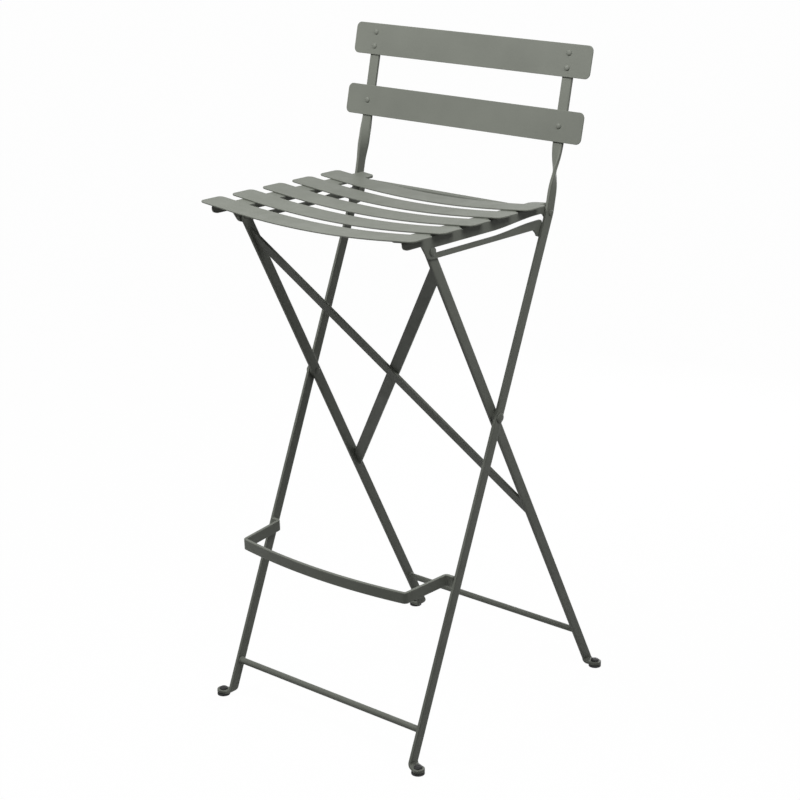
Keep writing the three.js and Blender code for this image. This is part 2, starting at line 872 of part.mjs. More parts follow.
const slatPlace = -(barThickness / 2 + seatGap + backSlatThickness / 2);
const topSlat = named(
  "backrest_slat_top",
  backSlat(topSlatHalf, topSlatWidth, rivetRises.top, topSlatRise),
  slatPaint,
);
topSlat.position.set(0, slatPlace, topSlatRise);
backrest.add(topSlat);
const lowerSlat = named(
  "backrest_slat_lower",
  backSlat(lowerSlatHalf, lowerSlatWidth, rivetRises.lower, lowerSlatRise),
  slatPaint,
);
lowerSlat.position.set(0, slatPlace, lowerSlatRise);
backrest.add(lowerSlat);

const hingeHalf = frameHalfWidth + seatGap;
const hingeRod = named(
  "seat_hinge_rod",
  rivet(
    hingeHeadDiameter / 2,
    hingeHeadHeight,
    hingeRodDiameter / 2,
    hingeHalf * 2,
    hingeHeadDiameter / 2,
    hingeHeadHeight,
  ),
  framePaint,
);
hingeRod.position.set(hingeHalf, hingeY, hingeHeight);
frame.add(hingeRod);

const frontBar = named(
  "front_crossbar",
  rodAlongX(crossbarDiameter / 2, (postInner - seatGap) * 2),
  framePaint,
);
frontBar.position.set(0, frontBarHeight * Math.tan(postLean), frontBarHeight);
frame.add(frontBar);

const footBar = named("footrest", footrest(), framePaint);
footBar.position.set(0, footrestHeight * Math.tan(postLean), footrestHeight);
footBar.rotation.x = footrestTilt;
frame.add(footBar);

// The rear legs, braced together, which turn about the pivot rivets.
const rearLegs = new THREE.Group();
rearLegs.position.set(0, pivotY, pivotHeight);
stool.add(rearLegs);
const legPlane = new THREE.Group();
legPlane.rotation.x = legLean;
rearLegs.add(legPlane);

const legDrift = Math.tan(legLean);
const rearFootY = pivotHeight * legDrift + glideY(legDrift, legDrift * rearTabShare);
const braceNames = ["brace_falling", "brace_rising"];
sides.forEach(([label, side], i) => {
  const leg = named("rear_leg_" + label, rearLeg(side), framePaint);
  leg.position.x = side * legX;
  rearLegs.add(leg);

  const shoe = named("glide_rear_" + label, glide(), rubber);
  shoe.position.set(side * (legX + tabReach), rearFootY, -pivotHeight);
  rearLegs.add(shoe);

  const stud = named(
    "leg_top_rivet_" + label,
    rivet(legRivetDiameter / 2, legRivetHeight, pinStem / 2, barThickness + seatGap, 0, 0),
    framePaint,
  );
  stud.position.set(side * (legInner - seatGap), 0, legReach);
  stud.rotation.z = side > 0 ? Math.PI : 0;
  legPlane.add(stud);

  const diagonal = named(braceNames[i], brace(-side), framePaint);
  diagonal.position.y = (side * (braceThickness + seatGap)) / 2;
  legPlane.add(diagonal);
});

const rearBar = named(
  "rear_crossbar",
  rodAlongX(crossbarDiameter / 2, (legInner - seatGap) * 2),
  framePaint,
);
rearBar.position.z = -rearBarDrop;
legPlane.add(rearBar);

// The seat, which turns about the hinge rod, and the pins that slide in its rails.
const seat = new THREE.Group();
seat.position.set(0, hingeY, hingeHeight);
stool.add(seat);
for (const [label, side] of sides) {
  seat.add(named("seat_rail_" + label, seatRail(side), slatPaint));

  const pin = named(
    "slot_pin_" + label,
    rivet(pinHeadDiameter / 2, pinHeadHeight, pinStem / 2, railThickness + seatGap, 0, 0),
    framePaint,
  );
  pin.position.set(side * (webOuter + seatGap), pinY, pinZ);
  pin.rotation.z = side > 0 ? 0 : Math.PI;
  seat.add(pin);
}
for (let i = 0; i < seatSlatCount; i++) {
  const slat = named("seat_slat_" + (i + 1), seatSlat(), slatPaint);
  slat.position.y = seatSlatWidth / 2 - seatFront + seatSlatPitch * i;
  seat.add(slat);
}

// The origin is on the floor, under the middle of the stool's bounding box.
stool.updateMatrixWorld(true);
const bounds = new THREE.Box3().setFromObject(stool, true);
stool.position.y = -(bounds.min.y + bounds.max.y) / 2;

const part = new THREE.Group();
part.add(stool);

export default part;
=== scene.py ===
"""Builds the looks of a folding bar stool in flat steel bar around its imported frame.

Lengths are metres in the frame's own axes: +Z up, +Y towards the backrest, +X to the right.
"""

import json
import logging
import math
from collections.abc import Callable, Iterable, Sequence
from dataclasses import dataclass
from enum import Enum
from itertools import pairwise

import bmesh
import bpy
from mathutils import Matrix, Vector

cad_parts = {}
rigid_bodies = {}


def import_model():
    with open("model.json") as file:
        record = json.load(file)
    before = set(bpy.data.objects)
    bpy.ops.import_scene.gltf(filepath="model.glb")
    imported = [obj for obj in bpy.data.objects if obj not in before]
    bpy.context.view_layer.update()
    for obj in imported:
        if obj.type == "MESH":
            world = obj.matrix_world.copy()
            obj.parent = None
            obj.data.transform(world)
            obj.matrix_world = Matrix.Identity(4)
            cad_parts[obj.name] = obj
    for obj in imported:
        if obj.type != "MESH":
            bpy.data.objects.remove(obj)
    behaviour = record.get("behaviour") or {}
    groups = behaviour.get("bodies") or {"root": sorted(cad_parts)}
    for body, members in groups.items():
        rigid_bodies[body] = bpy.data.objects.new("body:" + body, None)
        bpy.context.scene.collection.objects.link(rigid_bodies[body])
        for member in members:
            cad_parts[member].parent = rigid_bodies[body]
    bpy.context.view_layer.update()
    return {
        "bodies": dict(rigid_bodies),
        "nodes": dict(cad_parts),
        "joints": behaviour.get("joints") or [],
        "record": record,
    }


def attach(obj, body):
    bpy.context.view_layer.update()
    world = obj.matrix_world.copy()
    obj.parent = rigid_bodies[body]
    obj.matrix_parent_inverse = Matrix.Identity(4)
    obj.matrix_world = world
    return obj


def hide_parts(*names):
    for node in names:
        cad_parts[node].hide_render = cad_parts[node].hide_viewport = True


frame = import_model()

LOG = logging.getLogger("stool")

UP = Vector((0.0, 0.0, 1.0))
RIGHT = Vector((1.0, 0.0, 0.0))
REAR = Vector((0.0, 1.0, 0.0))
ORIGIN = Vector()
SIDES = (("left", -1), ("right", 1))
QUARTER = math.pi / 2
WHITE = (1.0, 1.0, 1.0, 1.0)

# Lengths and turns below TINY count as none. Points within NEAR of a place are picked there.
TINY = 1e-6
NEAR = 1e-5

# The air between pieces that touch on the real stool, and how far the posts' flat tops are set in.
GAP = 0.0003
POST_INSET = 0.0016

# How far round a bar's half-round end is drawn, and the facets of a drilled hole.
ROUND_END = math.radians(78.0)
DRILL_FACETS = 32

# The largest angle between two faces that are shaded as one.
SMOOTH_ANGLE = math.radians(38.0)

# The range of most of a noise pattern, and how alike true and rounded normals are at edges.
MOST_NOISE = (0.3, 0.7)
EDGE_LIKENESS = (0.72, 0.985)

Pair = tuple[float, float]
Triple = tuple[float, float, float]
Socket = bpy.types.NodeSocket
Piece = bpy.types.Object


class Body(Enum):
    """The stool's moving bodies."""

    FRAME = "frame"
    LEGS = "rear_legs"
    SEAT = "seat"
    PINS = "slot_pins"


class Pick(Enum):
    """What a selection in edit mode is made of."""

    POINTS = "VERT"
    EDGES = "EDGE"
    FACES = "FACE"


# ---------------------------------------------------------------- finishes


class NodeSheet:
    """The node tree of a material or world, with short calls to add and join its nodes."""

    def __init__(self, owner: bpy.types.Material | bpy.types.World) -> None:
        """Starts on a node tree that holds a shader and an output.

        Args:
            owner: a new material or world.
        """
        owner.use_nodes = True
        self.owner = owner
        self.tree = owner.node_tree
        for node in self.tree.nodes:
            if node.type.startswith("OUTPUT"):
                self.output = node
            else:
                self.shader = node

    def add(self, kind: str, **settings: object) -> bpy.types.Node:
        """Adds a node.

        Args:
            kind: the node's type.
            settings: its properties.

        Returns:
            The new node.
        """
        node = self.tree.nodes.new(kind)
        for key, value in settings.items():
            setattr(node, key, value)
        return node

    def put(self, node: bpy.types.Node, **values: object) -> None:
        """Sets a node's inputs, each named in small letters with _ for a space."""
        for key, value in values.items():
            node.inputs[key.replace("_", " ").title()].default_value = value

    def join(self, source: Socket, target: Socket) -> None:
        """Links two sockets."""
        self.tree.links.new(source, target)

    def noise(self, scale: float, detail: float, roughness: float = 0.5) -> Socket:
        """Adds a noise pattern that is fixed to the object.

        Args:
            scale: bumps per metre.
            detail: octaves of finer noise.
            roughness: how strong the finer octaves are.

        Returns:
            The pattern's value, around a half.
        """
        place = self.add("ShaderNodeTexCoord")
        pattern = self.add("ShaderNodeTexNoise")
        self.put(pattern, scale=scale, detail=detail, roughness=roughness)
        self.join(place.outputs["Object"], pattern.inputs["Vector"])
        return pattern.outputs["Fac"]

    def spread(self, value: Socket, source: Pair, target: Pair) -> Socket:
        """Maps one range of a value to another, clamped.

        Args:
            value: what is mapped.
            source: the range that it comes in.
            target: the range that it goes to.

        Returns:
            The mapped value.
        """
        node = self.add("ShaderNodeMapRange")
        self.put(node, from_min=source[0], from_max=source[1], to_min=target[0], to_max=target[1])
        self.join(value, node.inputs["Value"])
        return node.outputs["Result"]

    def blend(self, share: Socket, first: Socket | Triple, second: Triple) -> Socket:
        """Mixes two colours.

        Args:
            share: how much of the second colour.
            first: a colour, or a socket that gives one.
            second: a colour.

        Returns:
            The mixed colour.
        """
        node = self.add("ShaderNodeMix", data_type="RGBA")
        node.inputs[7].default_value = (*second, 1.0)
        if isinstance(first, tuple):
            node.inputs[6].default_value = (*first, 1.0)
        else:
            self.join(first, node.inputs[6])
        self.join(share, node.inputs[0])
        return node.outputs[2]

    def edge_mask(self, radius: float, amount: float) -> Socket:
        """Finds the rounded edges of the piece.

        Args:
            radius: how far from an edge counts.
            amount: the mask's value right on an edge.

        Returns:
            A value that is 0 on flat faces.
        """
        soft = self.add("ShaderNodeBevel", samples=4)
        self.put(soft, radius=radius)
        place = self.add("ShaderNodeNewGeometry")
        likeness = self.add("ShaderNodeVectorMath", operation="DOT_PRODUCT")
        self.join(soft.outputs["Normal"], likeness.inputs[0])
        self.join(place.outputs["Normal"], likeness.inputs[1])
        return self.spread(likeness.outputs["Value"], EDGE_LIKENESS, (amount, 0.0))

    def relief(self, heights: Sequence[tuple[Socket, float, float]]) -> None:
        """Stacks bumps on the shader's normal.

        Args:
            heights: for each bump its pattern, strength and depth.
        """
        normal = None
        for pattern, strength, depth in heights:
            bump = self.add("ShaderNodeBump")
            self.put(bump, strength=strength, distance=depth)
            self.join(pattern, bump.inputs["Height"])
            if normal is not None:
                self.join(normal, bump.inputs["Normal"])
            normal = bump.outputs["Normal"]
        self.join(normal, self.shader.inputs["Normal"])

    def show_white(self, kind: str, strength: float, share: float) -> None:
        """Shows white to the rays that show the surroundings, and lights by the shader.

        Args:
            kind: the type of the node that shines white.
            strength: how bright it shines.
            share: how much of it covers the shader for those rays.
        """
        white = self.add(kind)
        self.put(white, color=WHITE, strength=strength)
        rays = self.add("ShaderNodeLightPath")
        seen = rays.outputs["Is Camera Ray"]
        for ray in ("Is Glossy Ray", "Is Transmission Ray"):
            either = self.add("ShaderNodeMath", operation="MAXIMUM")
            self.join(seen, either.inputs[0])
            self.join(rays.outputs[ray], either.inputs[1])
            seen = either.outputs[0]
        covered = self.add("ShaderNodeMath", operation="MULTIPLY")
        covered.inputs[1].default_value = share
        self.join(seen, covered.inputs[0])
        mixed = self.add("ShaderNodeMixShader")
        for source, target in zip((covered, self.shader, white), mixed.inputs):
            self.join(source.outputs[0], target)
        self.join(mixed.outputs[0], self.output.inputs["Surface"])


def linear(colour: Triple) -> Triple:
    """Turns display values from 0 to 255 into the linear values that a shader takes."""
    shares = [value / 255 for value in colour]
    return tuple(s / 12.92 if s <= 0.04045 else ((s + 0.055) / 1.055) ** 2.4 for s in shares)


@dataclass(frozen=True)
class PowderCoat:
    """Satin powder coat: a fine orange peel, faint clouds of tone, and a painted highlight that
    makes its eased edges paler.
    """

    slot: str
    tone: Triple
    cloud: float = 0.06
    cloud_scale: float = 14.0
    speck_scale: float = 1500.0
    speck_share: float = 0.35
    # Radius and strength of the painted edge highlight, and how much paler it makes the coat.
    edge: Pair = (0.0011, 0.5)
    edge_highlight_lift: float = 1.35
    gloss_scale: float = 38.0
    roughness: Pair = (0.46, 0.6)
    specular: float = 0.25
    peel: float = 0.16
    peel_scale: float = 330.0
    peel_depth: float = 0.0006
    grain_scale: float = 1900.0
    grain_depth: float = 0.0002

    def material(self) -> bpy.types.Material:
        """Makes the coat's material.

        Returns:
            The material.
        """
        sheet = NodeSheet(bpy.data.materials.new(self.slot))
        base = linear(self.tone)
        dark = tuple(value * (1 - self.cloud) for value in base)
        light = tuple(value * (1 + self.cloud) for value in base)
        # The paler tone of the painted highlight along the eased edges.
        edge_highlight = tuple(value * self.edge_highlight_lift for value in base)
        clouds = sheet.spread(sheet.noise(self.cloud_scale, 3.0), MOST_NOISE, (0.0, 1.0))
        colour = sheet.blend(clouds, dark, light)
        specks = sheet.noise(self.speck_scale, 1.0)
        specks = sheet.spread(specks, (0.66, 0.78), (0.0, self.speck_share))
        colour = sheet.blend(specks, colour, light)
        # Painted highlight: the edge mask blends the eased edges towards the paler tone.
        colour = sheet.blend(sheet.edge_mask(*self.edge), colour, edge_highlight)
        sheet.join(colour, sheet.shader.inputs["Base Color"])
        gloss = sheet.spread(sheet.noise(self.gloss_scale, 4.0, 0.6), MOST_NOISE, self.roughness)
        sheet.join(gloss, sheet.shader.inputs["Roughness"])
        sheet.shader.inputs["Specular IOR Level"].default_value = self.specular
        sheet.relief(
            (
                (sheet.noise(self.peel_scale, 2.0), self.peel, self.peel_depth),
                (sheet.noise(self.grain_scale, 1.0), self.peel * 0.5, self.grain_depth),
            )
        )
        return sheet.owner


@dataclass(frozen=True)
class MouldedRubber:
    """Matt black rubber with a moulded grain, patches of dusty bloom, and paler edges."""

    slot: str
    tone: Triple
    pale_tone_lift: float = 3.0
    dust_scale: float = 240.0
    dust_share: float = 0.5
    edge: Pair = (0.0012, 0.6)
    gloss_scale: float = 160.0
    roughness: Pair = (0.62, 0.8)
    grain_scale: float = 900.0
    grain: Pair = (0.3, 0.0004)

    def material(self) -> bpy.types.Material:
        """Makes the rubber's material.

        Returns:
            The material.
        """
        sheet = NodeSheet(bpy.data.materials.new(self.slot))
        base = linear(self.tone)
        pale_tone = tuple(value * self.pale_tone_lift for value in base)
        dust = sheet.noise(self.dust_scale, 4.0, 0.6)
        dust = sheet.spread(dust, (0.45, 0.8), (0.0, self.dust_share))
        colour = sheet.blend(dust, base, pale_tone)
        # The edge mask makes the edges paler, towards the same pale tone as the dust patches.
        colour = sheet.blend(sheet.edge_mask(*self.edge), colour, pale_tone)
        sheet.join(colour, sheet.shader.inputs["Base Color"])
        gloss = sheet.spread(sheet.noise(self.gloss_scale, 2.0), MOST_NOISE, self.roughness)
        sheet.join(gloss, sheet.shader.inputs["Roughness"])
        sheet.relief(((sheet.noise(self.grain_scale, 3.0), *self.grain),))
        return sheet.owner


class Finish(Enum):
    """The stool's finishes. Slats and frame share one tone in two slots."""

    SLAT = PowderCoat("slat_coat", (114, 117, 109))
    FRAME = PowderCoat("frame_coat", (114, 117, 109))
    RUBBER = MouldedRubber("rubber", (16, 16, 16))


COATS: dict[Finish, bpy.types.Material] = {}


# ---------------------------------------------------------------- workbench


def deselect() -> None:
    """Leaves edit mode and deselects every object."""
    if bpy.context.object is not None and bpy.context.object.mode != "OBJECT":
        bpy.ops.object.mode_set(mode="OBJECT")
    bpy.ops.object.select_all(action="DESELECT")


def pick_object(piece: Piece) -> None:
    """Makes one object the only selected and active one.

    Args:
        piece: the object.
    """
    deselect()
    piece.select_set(True)
    bpy.context.view_layer.objects.active = piece


def settle(piece: Piece, place: Matrix) -> Piece:
    """Moves a piece from the origin and bakes its place into its mesh.

    Args:
        piece: the object.
        place: where it goes.

    Returns:
        The same piece.
    """
    pick_object(piece)
    piece.matrix_world = place
    bpy.ops.object.transform_apply(location=True, rotation=True, scale=True)
    return piece


def copy_of(piece: Piece, name: str, place: Matrix) -> Piece:
    """Copies a piece with its own mesh.

    Args:
        piece: what is copied.
        name: the copy's name.
        place: where the copy goes, from where the piece is.

    Returns:
        The copy.
    """
    pick_object(piece)
    bpy.ops.object.duplicate(linked=False)
    double = bpy.context.object
    double.name = name
    return settle(double, place)


def mirror_of(piece: Piece, name: str) -> Piece:
    """Copies a piece to the stool's other side.

    Args:
        piece: what is copied.
        name: the copy's name.

    Returns:
        The mirrored copy, its faces outwards again.
    """
    double = copy_of(piece, name, Matrix.Diagonal((-1.0, 1.0, 1.0, 1.0)))
    bpy.ops.object.mode_set(mode="EDIT")
    bpy.ops.mesh.select_all(action="SELECT")
    bpy.ops.mesh.normals_make_consistent(inside=False)
    bpy.ops.object.mode_set(mode="OBJECT")
    return double


def near_any(places: Iterable[Vector]) -> Callable[[Vector], bool]:
    """Gives a test that says of a place whether it is one of some places."""
    return lambda place: any((place - other).length < NEAR for other in places)


@dataclass(frozen=True)
class Section:
    """One cross-section of a bar, from its middle to its faces."""

    middle: Vector
    across: Vector
    through: Vector

    def axes(self) -> Matrix:
        """Gives the section's unit axes, as a matrix's columns."""
        wide, thick = self.across.normalized(), self.through.normalized()
        return Matrix((wide, thick, wide.cross(thick))).transposed()

    def moved(self, place: Matrix) -> "Section":
        """Gives the same section elsewhere, turned and shifted by a matrix."""
        turn = place.to_3x3()
        return Section(place @ self.middle, turn @ self.across, turn @ self.through)


class Workpiece:
    """One mesh that is shaped in edit mode with Blender's own operators."""

    def __init__(self, name: str) -> None:
        """Adds a unit plane at the origin and enters edit mode.

        Args:
            name: the object's name.
        """
        deselect()
        bpy.ops.mesh.primitive_plane_add(size=1.0)
        self.object = bpy.context.object
        self.object.name = name
        bpy.ops.object.mode_set(mode="EDIT")
        self.pick_all(Pick.POINTS)

    def pick(self, kind: Pick, test: Callable[[Vector], bool]) -> None:
        """Selects what lies at certain places, and nothing else.

        Args:
            kind: points or edges.
            test: says of a middle whether it is selected.
        """
        bpy.ops.mesh.select_mode(type=kind.value)
        bpy.ops.mesh.select_all(action="DESELECT")
        shape = bmesh.from_edit_mesh(self.object.data)
        for item in shape.verts if kind is Pick.POINTS else shape.edges:
            ends = (item,) if kind is Pick.POINTS else item.verts
            if test(sum((end.co for end in ends), Vector()) / len(ends)):
                item.select_set(True)
        shape.select_flush_mode()
        bmesh.update_edit_mesh(self.object.data)

    def pick_all(self, kind: Pick) -> None:
        """Selects the whole mesh."""
        bpy.ops.mesh.select_mode(type=kind.value)
        bpy.ops.mesh.select_all(action="SELECT")

    def move(self, offset: Vector) -> None:
        """Shifts the selection."""
        bpy.ops.transform.translate(value=offset)

    def extrude(self, offset: Vector) -> None:
        """Extrudes the selection."""
        bpy.ops.mesh.extrude_region_move(TRANSFORM_OT_translate={"value": offset})

    def turn(self, rotation: Matrix, centre: Vector) -> None:
        """Turns the selection, one axis after another.

        Args:
            rotation: a rotation matrix.
            centre: the point that stays.
        """
        for axis, angle in zip("XYZ", rotation.to_euler("XYZ")):
            if abs(angle) > TINY:
                bpy.ops.transform.rotate(
                    value=-angle, orient_axis=axis, orient_type="GLOBAL", center_override=centre
                )

    def stretch(self, ratios: Sequence[float], axes: Matrix, centre: Vector) -> None:
        """Scales the selection along axes of its own.

        Args:
            ratios: three ratios, one for each axis.
            axes: the axes, as a matrix's columns.
            centre: the point that stays.
        """
        if max(abs(ratio - 1) for ratio in ratios) > TINY:
            bpy.ops.transform.resize(
                value=ratios,
                orient_type="GLOBAL",
                orient_matrix=[tuple(axis) for axis in axes.transposed()],
                orient_matrix_type="GLOBAL",
                center_override=centre,
            )

    def plate(self, length: float, width: float) -> None:
        """Makes a rectangle of the unit plane."""
        self.stretch((length, width, 1.0), Matrix.Identity(3), ORIGIN)

    def round_points(self, radius: float, steps: int) -> None:
        """Rounds the selected corners of a face."""
        bpy.ops.mesh.bevel(offset=radius, offset_type="OFFSET", affect="VERTICES", segments=steps)

    def sweep(self, sections: Sequence[Section], ease: float, steps: int = 3) -> Piece:
        """Extrudes a rounded rectangle through cross-sections, and leaves edit mode.

        Args:
            sections: the bar's sections in order.
            ease: radius of its long edges.
            steps: facets round each long edge.

        Returns:
            The object.
        """
        first = sections[0]
        self.plate(first.across.length * 2, first.through.length * 2)
        self.round_points(ease, steps)
        self.pick_all(Pick.FACES)
        self.turn(first.axes(), ORIGIN)
        self.move(first.middle)
        for before, after in pairwise(sections):
            self.extrude(after.middle - before.middle)
            self.turn(after.axes() @ before.axes().transposed(), after.middle)
            ratios = (
                after.across.length / before.across.length,
                after.through.length / before.through.length,
                1.0,
            )
            self.stretch(ratios, after.axes(), after.middle)
        return self.leave()

    def chain(self, points: Sequence[Vector], closed: bool) -> None:
        """Extrudes the selected point into a chain of edges.

        Args:
            points: the chain's corners, the first where the selected point is.
            closed: whether the last corner is joined to the first.
        """
        for before, after in pairwise(points):
            self.extrude(after - before)
        if closed:
            self.pick(Pick.POINTS, near_any((points[0], points[-1])))
            bpy.ops.mesh.edge_face_add()

    def trace(self, points: Sequence[Vector], closed: bool = False) -> None:
        """Shrinks the selection to a point and extrudes it into a chain of edges.

        Args:
            points: the chain's corners.
            closed: whether the last corner is joined to the first.
        """
        bpy.ops.mesh.merge(type="CENTER")
        shape = bmesh.from_edit_mesh(self.object.data)
        start = next(point for point in shape.verts if point.select)
        self.move(points[0] - start.co)
        self.chain(points, closed)

    def trace_more(self, points: Sequence[Vector]) -> None:
        """Starts another closed chain, from a copy of one point.

        Args:
            points: the chain's corners.
        """
        shape = bmesh.from_edit_mesh(self.object.data)
        shape.verts.ensure_lookup_table()
        seed = shape.verts[0].co.copy()
        self.pick(Pick.POINTS, near_any([seed]))
        bpy.ops.mesh.duplicate_move(TRANSFORM_OT_translate={"value": points[0] - seed})
        self.chain(points, closed=True)

    def revolve(self, axis: Vector, steps: int) -> Piece:
        """Spins the whole chain into a closed turned shape, and leaves edit mode.

        Args:
            axis: the direction of the axis, which runs through the origin.
            steps: facets round it.

        Returns:
            The object.
        """
        self.pick_all(Pick.POINTS)
        bpy.ops.mesh.spin(steps=steps, angle=math.tau, center=ORIGIN, axis=axis)
        self.merge_doubles()
        return self.leave()

    def merge_doubles(self) -> None:
        """Merges points that lie on each other."""
        self.pick_all(Pick.POINTS)
        bpy.ops.mesh.remove_doubles(threshold=TINY)

    def leave(self) -> Piece:
        """Turns all faces outwards and leaves edit mode.

        Returns:
            The object.
        """
        self.pick_all(Pick.FACES)
        bpy.ops.mesh.normals_make_consistent(inside=False)
        bpy.ops.object.mode_set(mode="OBJECT")
        return self.object


def apply_modifier(piece: Piece, kind: str, **settings: object) -> None:
    """Adds a modifier and applies it.

    Args:
        piece: the object.
        kind: the modifier's type.
        settings: its properties.
    """
    pick_object(piece)
    modifier = piece.modifiers.new(kind.lower(), kind)
    for key, value in settings.items():
        setattr(modifier, key, value)
    bpy.ops.object.modifier_apply(modifier=modifier.name)


def ease_edges(piece: Piece, radius: float, steps: int = 2, limit: float = 50.0) -> None:
    """Rounds the sharp edges of a piece.

    Args:
        piece: the object.
        radius: width of the rounding.
        steps: facets across it.
        limit: the smallest angle that counts as sharp, in degrees.
    """
    apply_modifier(
        piece,
        "BEVEL",
        width=radius,
        segments=steps,
        limit_method="ANGLE",
        angle_limit=math.radians(limit),
        use_clamp_overlap=True,
    )


def thicken(piece: Piece, thickness: float) -> None:
    """Turns a sheet's face up and thickens it downwards.

    Args:
        piece: the sheet.
        thickness: what it gets.
    """
    flat = max(piece.data.polygons, key=lambda face: abs(face.normal.z) * face.area)
    if flat.normal.z < 0:
        piece.data.flip_normals()
    apply_modifier(piece, "SOLIDIFY", thickness=thickness, offset=-1.0)


@dataclass(frozen=True)
class Bore:
    """A round hole through a piece."""

    centre: Vector
    axis: Vector
    radius: float
    length: float


def drill(piece: Piece, bores: Iterable[Bore]) -> None:
    """Cuts round holes through a piece.

    Args:
        piece: the object.
        bores: the holes.
    """
    deselect()
    drills = []
    for bore in bores:
        bpy.ops.mesh.primitive_cylinder_add(
            vertices=DRILL_FACETS,
            radius=bore.radius,
            depth=bore.length,
            location=bore.centre,
            rotation=bore.axis.to_track_quat("Z", "Y").to_euler(),
        )
        drills.append(bpy.context.object)
    for tool in drills:
        tool.select_set(True)
    bpy.ops.object.join()
    cutter = bpy.context.object
    apply_modifier(piece, "BOOLEAN", operation="DIFFERENCE", object=cutter, solver="EXACT")
    bpy.data.objects.remove(cutter)


def present(piece: Piece, finish: Finish, body: Body, node: str) -> None:
    """Smooths and paints a finished piece and hands it to its body.

    Args:
        piece: the object.
        finish: its finish.
        body: the body that it rides on.
        node: the CAD node that it stands for.
    """
    pick_object(piece)
    bpy.ops.object.shade_smooth_by_angle(angle=SMOOTH_ANGLE)
    apply_modifier(piece, "WEIGHTED_NORMAL", keep_sharp=True, weight=60)
    piece.data.materials.clear()
    piece.data.materials.append(COATS[finish])
    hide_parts(node)
    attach(piece, body.value)
    LOG.info("%s: %d faces, on %s", piece.name, len(piece.data.polygons), body.value)


def present_pair(piece: Piece, left: str, finish: Finish, body: Body, node: str) -> None:
    """Presents a right-hand piece and its mirror image.

    Args:
        piece: the right-hand piece.
        left: the mirror image's name.
        finish: their finish.
        body: the body that they ride on.
        node: what both CAD nodes are called before the side.
    """
    other = mirror_of(piece, left)
    present(piece, finish, body, f"{node}_right")
    present(other, finish, body, f"{node}_left")


def present_copies(
    pattern: Piece, finish: Finish, copies: Iterable[tuple[str, Matrix, Body, str]]
) -> None:
    """Copies a pattern, presents the copies and removes the pattern.

    Args:
        pattern: the piece that is copied.
        finish: the copies' finish.
        copies: name, place, body and CAD node of each copy.
    """
    for name, place, body, node in copies:
        present(copy_of(pattern, name, place), finish, body, node)
    bpy.data.objects.remove(pattern)


def turned(name: str, profile: Sequence[Pair], steps: int = 40) -> Piece:
    """Makes a turned piece along +X.

    Args:
        name: the object's name.
        profile: pairs of place along the axis and radius.
        steps: facets round it.

    Returns:
        The object.
    """
    work = Workpiece(name)
    work.trace([Vector((along, radius, 0.0)) for along, radius in profile])
    return work.revolve(RIGHT, steps)


def aimed(direction: Vector, place: Vector) -> Matrix:
    """Gives the matrix that takes a turned piece to a place and aims its +X."""
    turn = RIGHT.rotation_difference(direction).to_matrix().to_4x4()
    return Matrix.Translation(place) @ turn


def smooth(share: float) -> float:
    """Gives a share that starts and ends gently."""
    return share * share * (3 - 2 * share)


# ---------------------------------------------------------------- sizes


@dataclass(frozen=True)
class FlatBar:
    """The flat bar that posts and rear legs are bent from."""

    width: float = 0.016
    thickness: float = 0.005
    ease: float = 0.0008


@dataclass(frozen=True)
class Holes:
    """Radii of the holes in the bars, and how deep the drill goes."""

    glide: float = 0.00375
    hinge: float = 0.00375
    pivot: float = 0.00325
    rivet: float = 0.0025
    leg_top: float = 0.00225
    depth: float = 0.01
    back_depth: float = 0.02


@dataclass(frozen=True)
class SideView:
    """The lines of the stool's side view."""

    hinge: Vector
    pivot: Vector
    post_lean: float = math.radians(21.75)
    back_lean: float = math.radians(11.9)
    leg_lean: float = math.radians(28.54)
    leg_reach: float = 0.2939

    def post_line(self, height: float) -> float:
        """Gives the post line's y at a height above the floor."""
        return self.hinge.y + (height - self.hinge.z) * math.tan(self.post_lean)

    def leg_line(self, height: float) -> float:
        """Gives the rear leg line's y at a height above the floor."""
        return self.pivot.y + (self.pivot.z - height) * math.tan(self.leg_lean)

    def back_frame(self) -> Matrix:
        """Gives the backrest's frame: its origin is the hinge, and +Z runs up the back."""
        return Matrix.Translation(self.hinge) @ Matrix.Rotation(-self.back_lean, 4, "X")

    def leg_frame(self) -> Matrix:
        """Gives the rear legs' frame: its origin is the pivot, and +Z runs up the legs."""
        return Matrix.Translation(self.pivot) @ Matrix.Rotation(self.leg_lean, 4, "X")

    def leg_top(self) -> Vector:
        """Gives the middle of the rear legs' round tops."""
        return self.leg_frame() @ (UP * self.leg_reach)


@dataclass(frozen=True)
class Widths:
    """Places across the stool, from its middle plane: faces and middles of what stacks up."""

    frame: float = 0.1761
    bar: float = 0.005
    slide: float = 0.0005
    web: float = 0.003
    post: float = frame - bar / 2
    post_inner: float = frame - bar
    web_outer: float = post_inner - slide
    web_inner: float = web_outer - web
    leg_outer: float = web_inner - slide
    leg: float = leg_outer - bar / 2
    leg_inner: float = leg_outer - bar


def joint_place(name: str) -> Vector:
    """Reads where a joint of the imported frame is."""
    return Vector(next(j["pos_m"] for j in frame["joints"] if j["name"] == name))


LINES = SideView(joint_place("seat_fold"), joint_place("legs_fold"))
WIDTHS = Widths()
BAR = FlatBar()
HOLES = Holes()


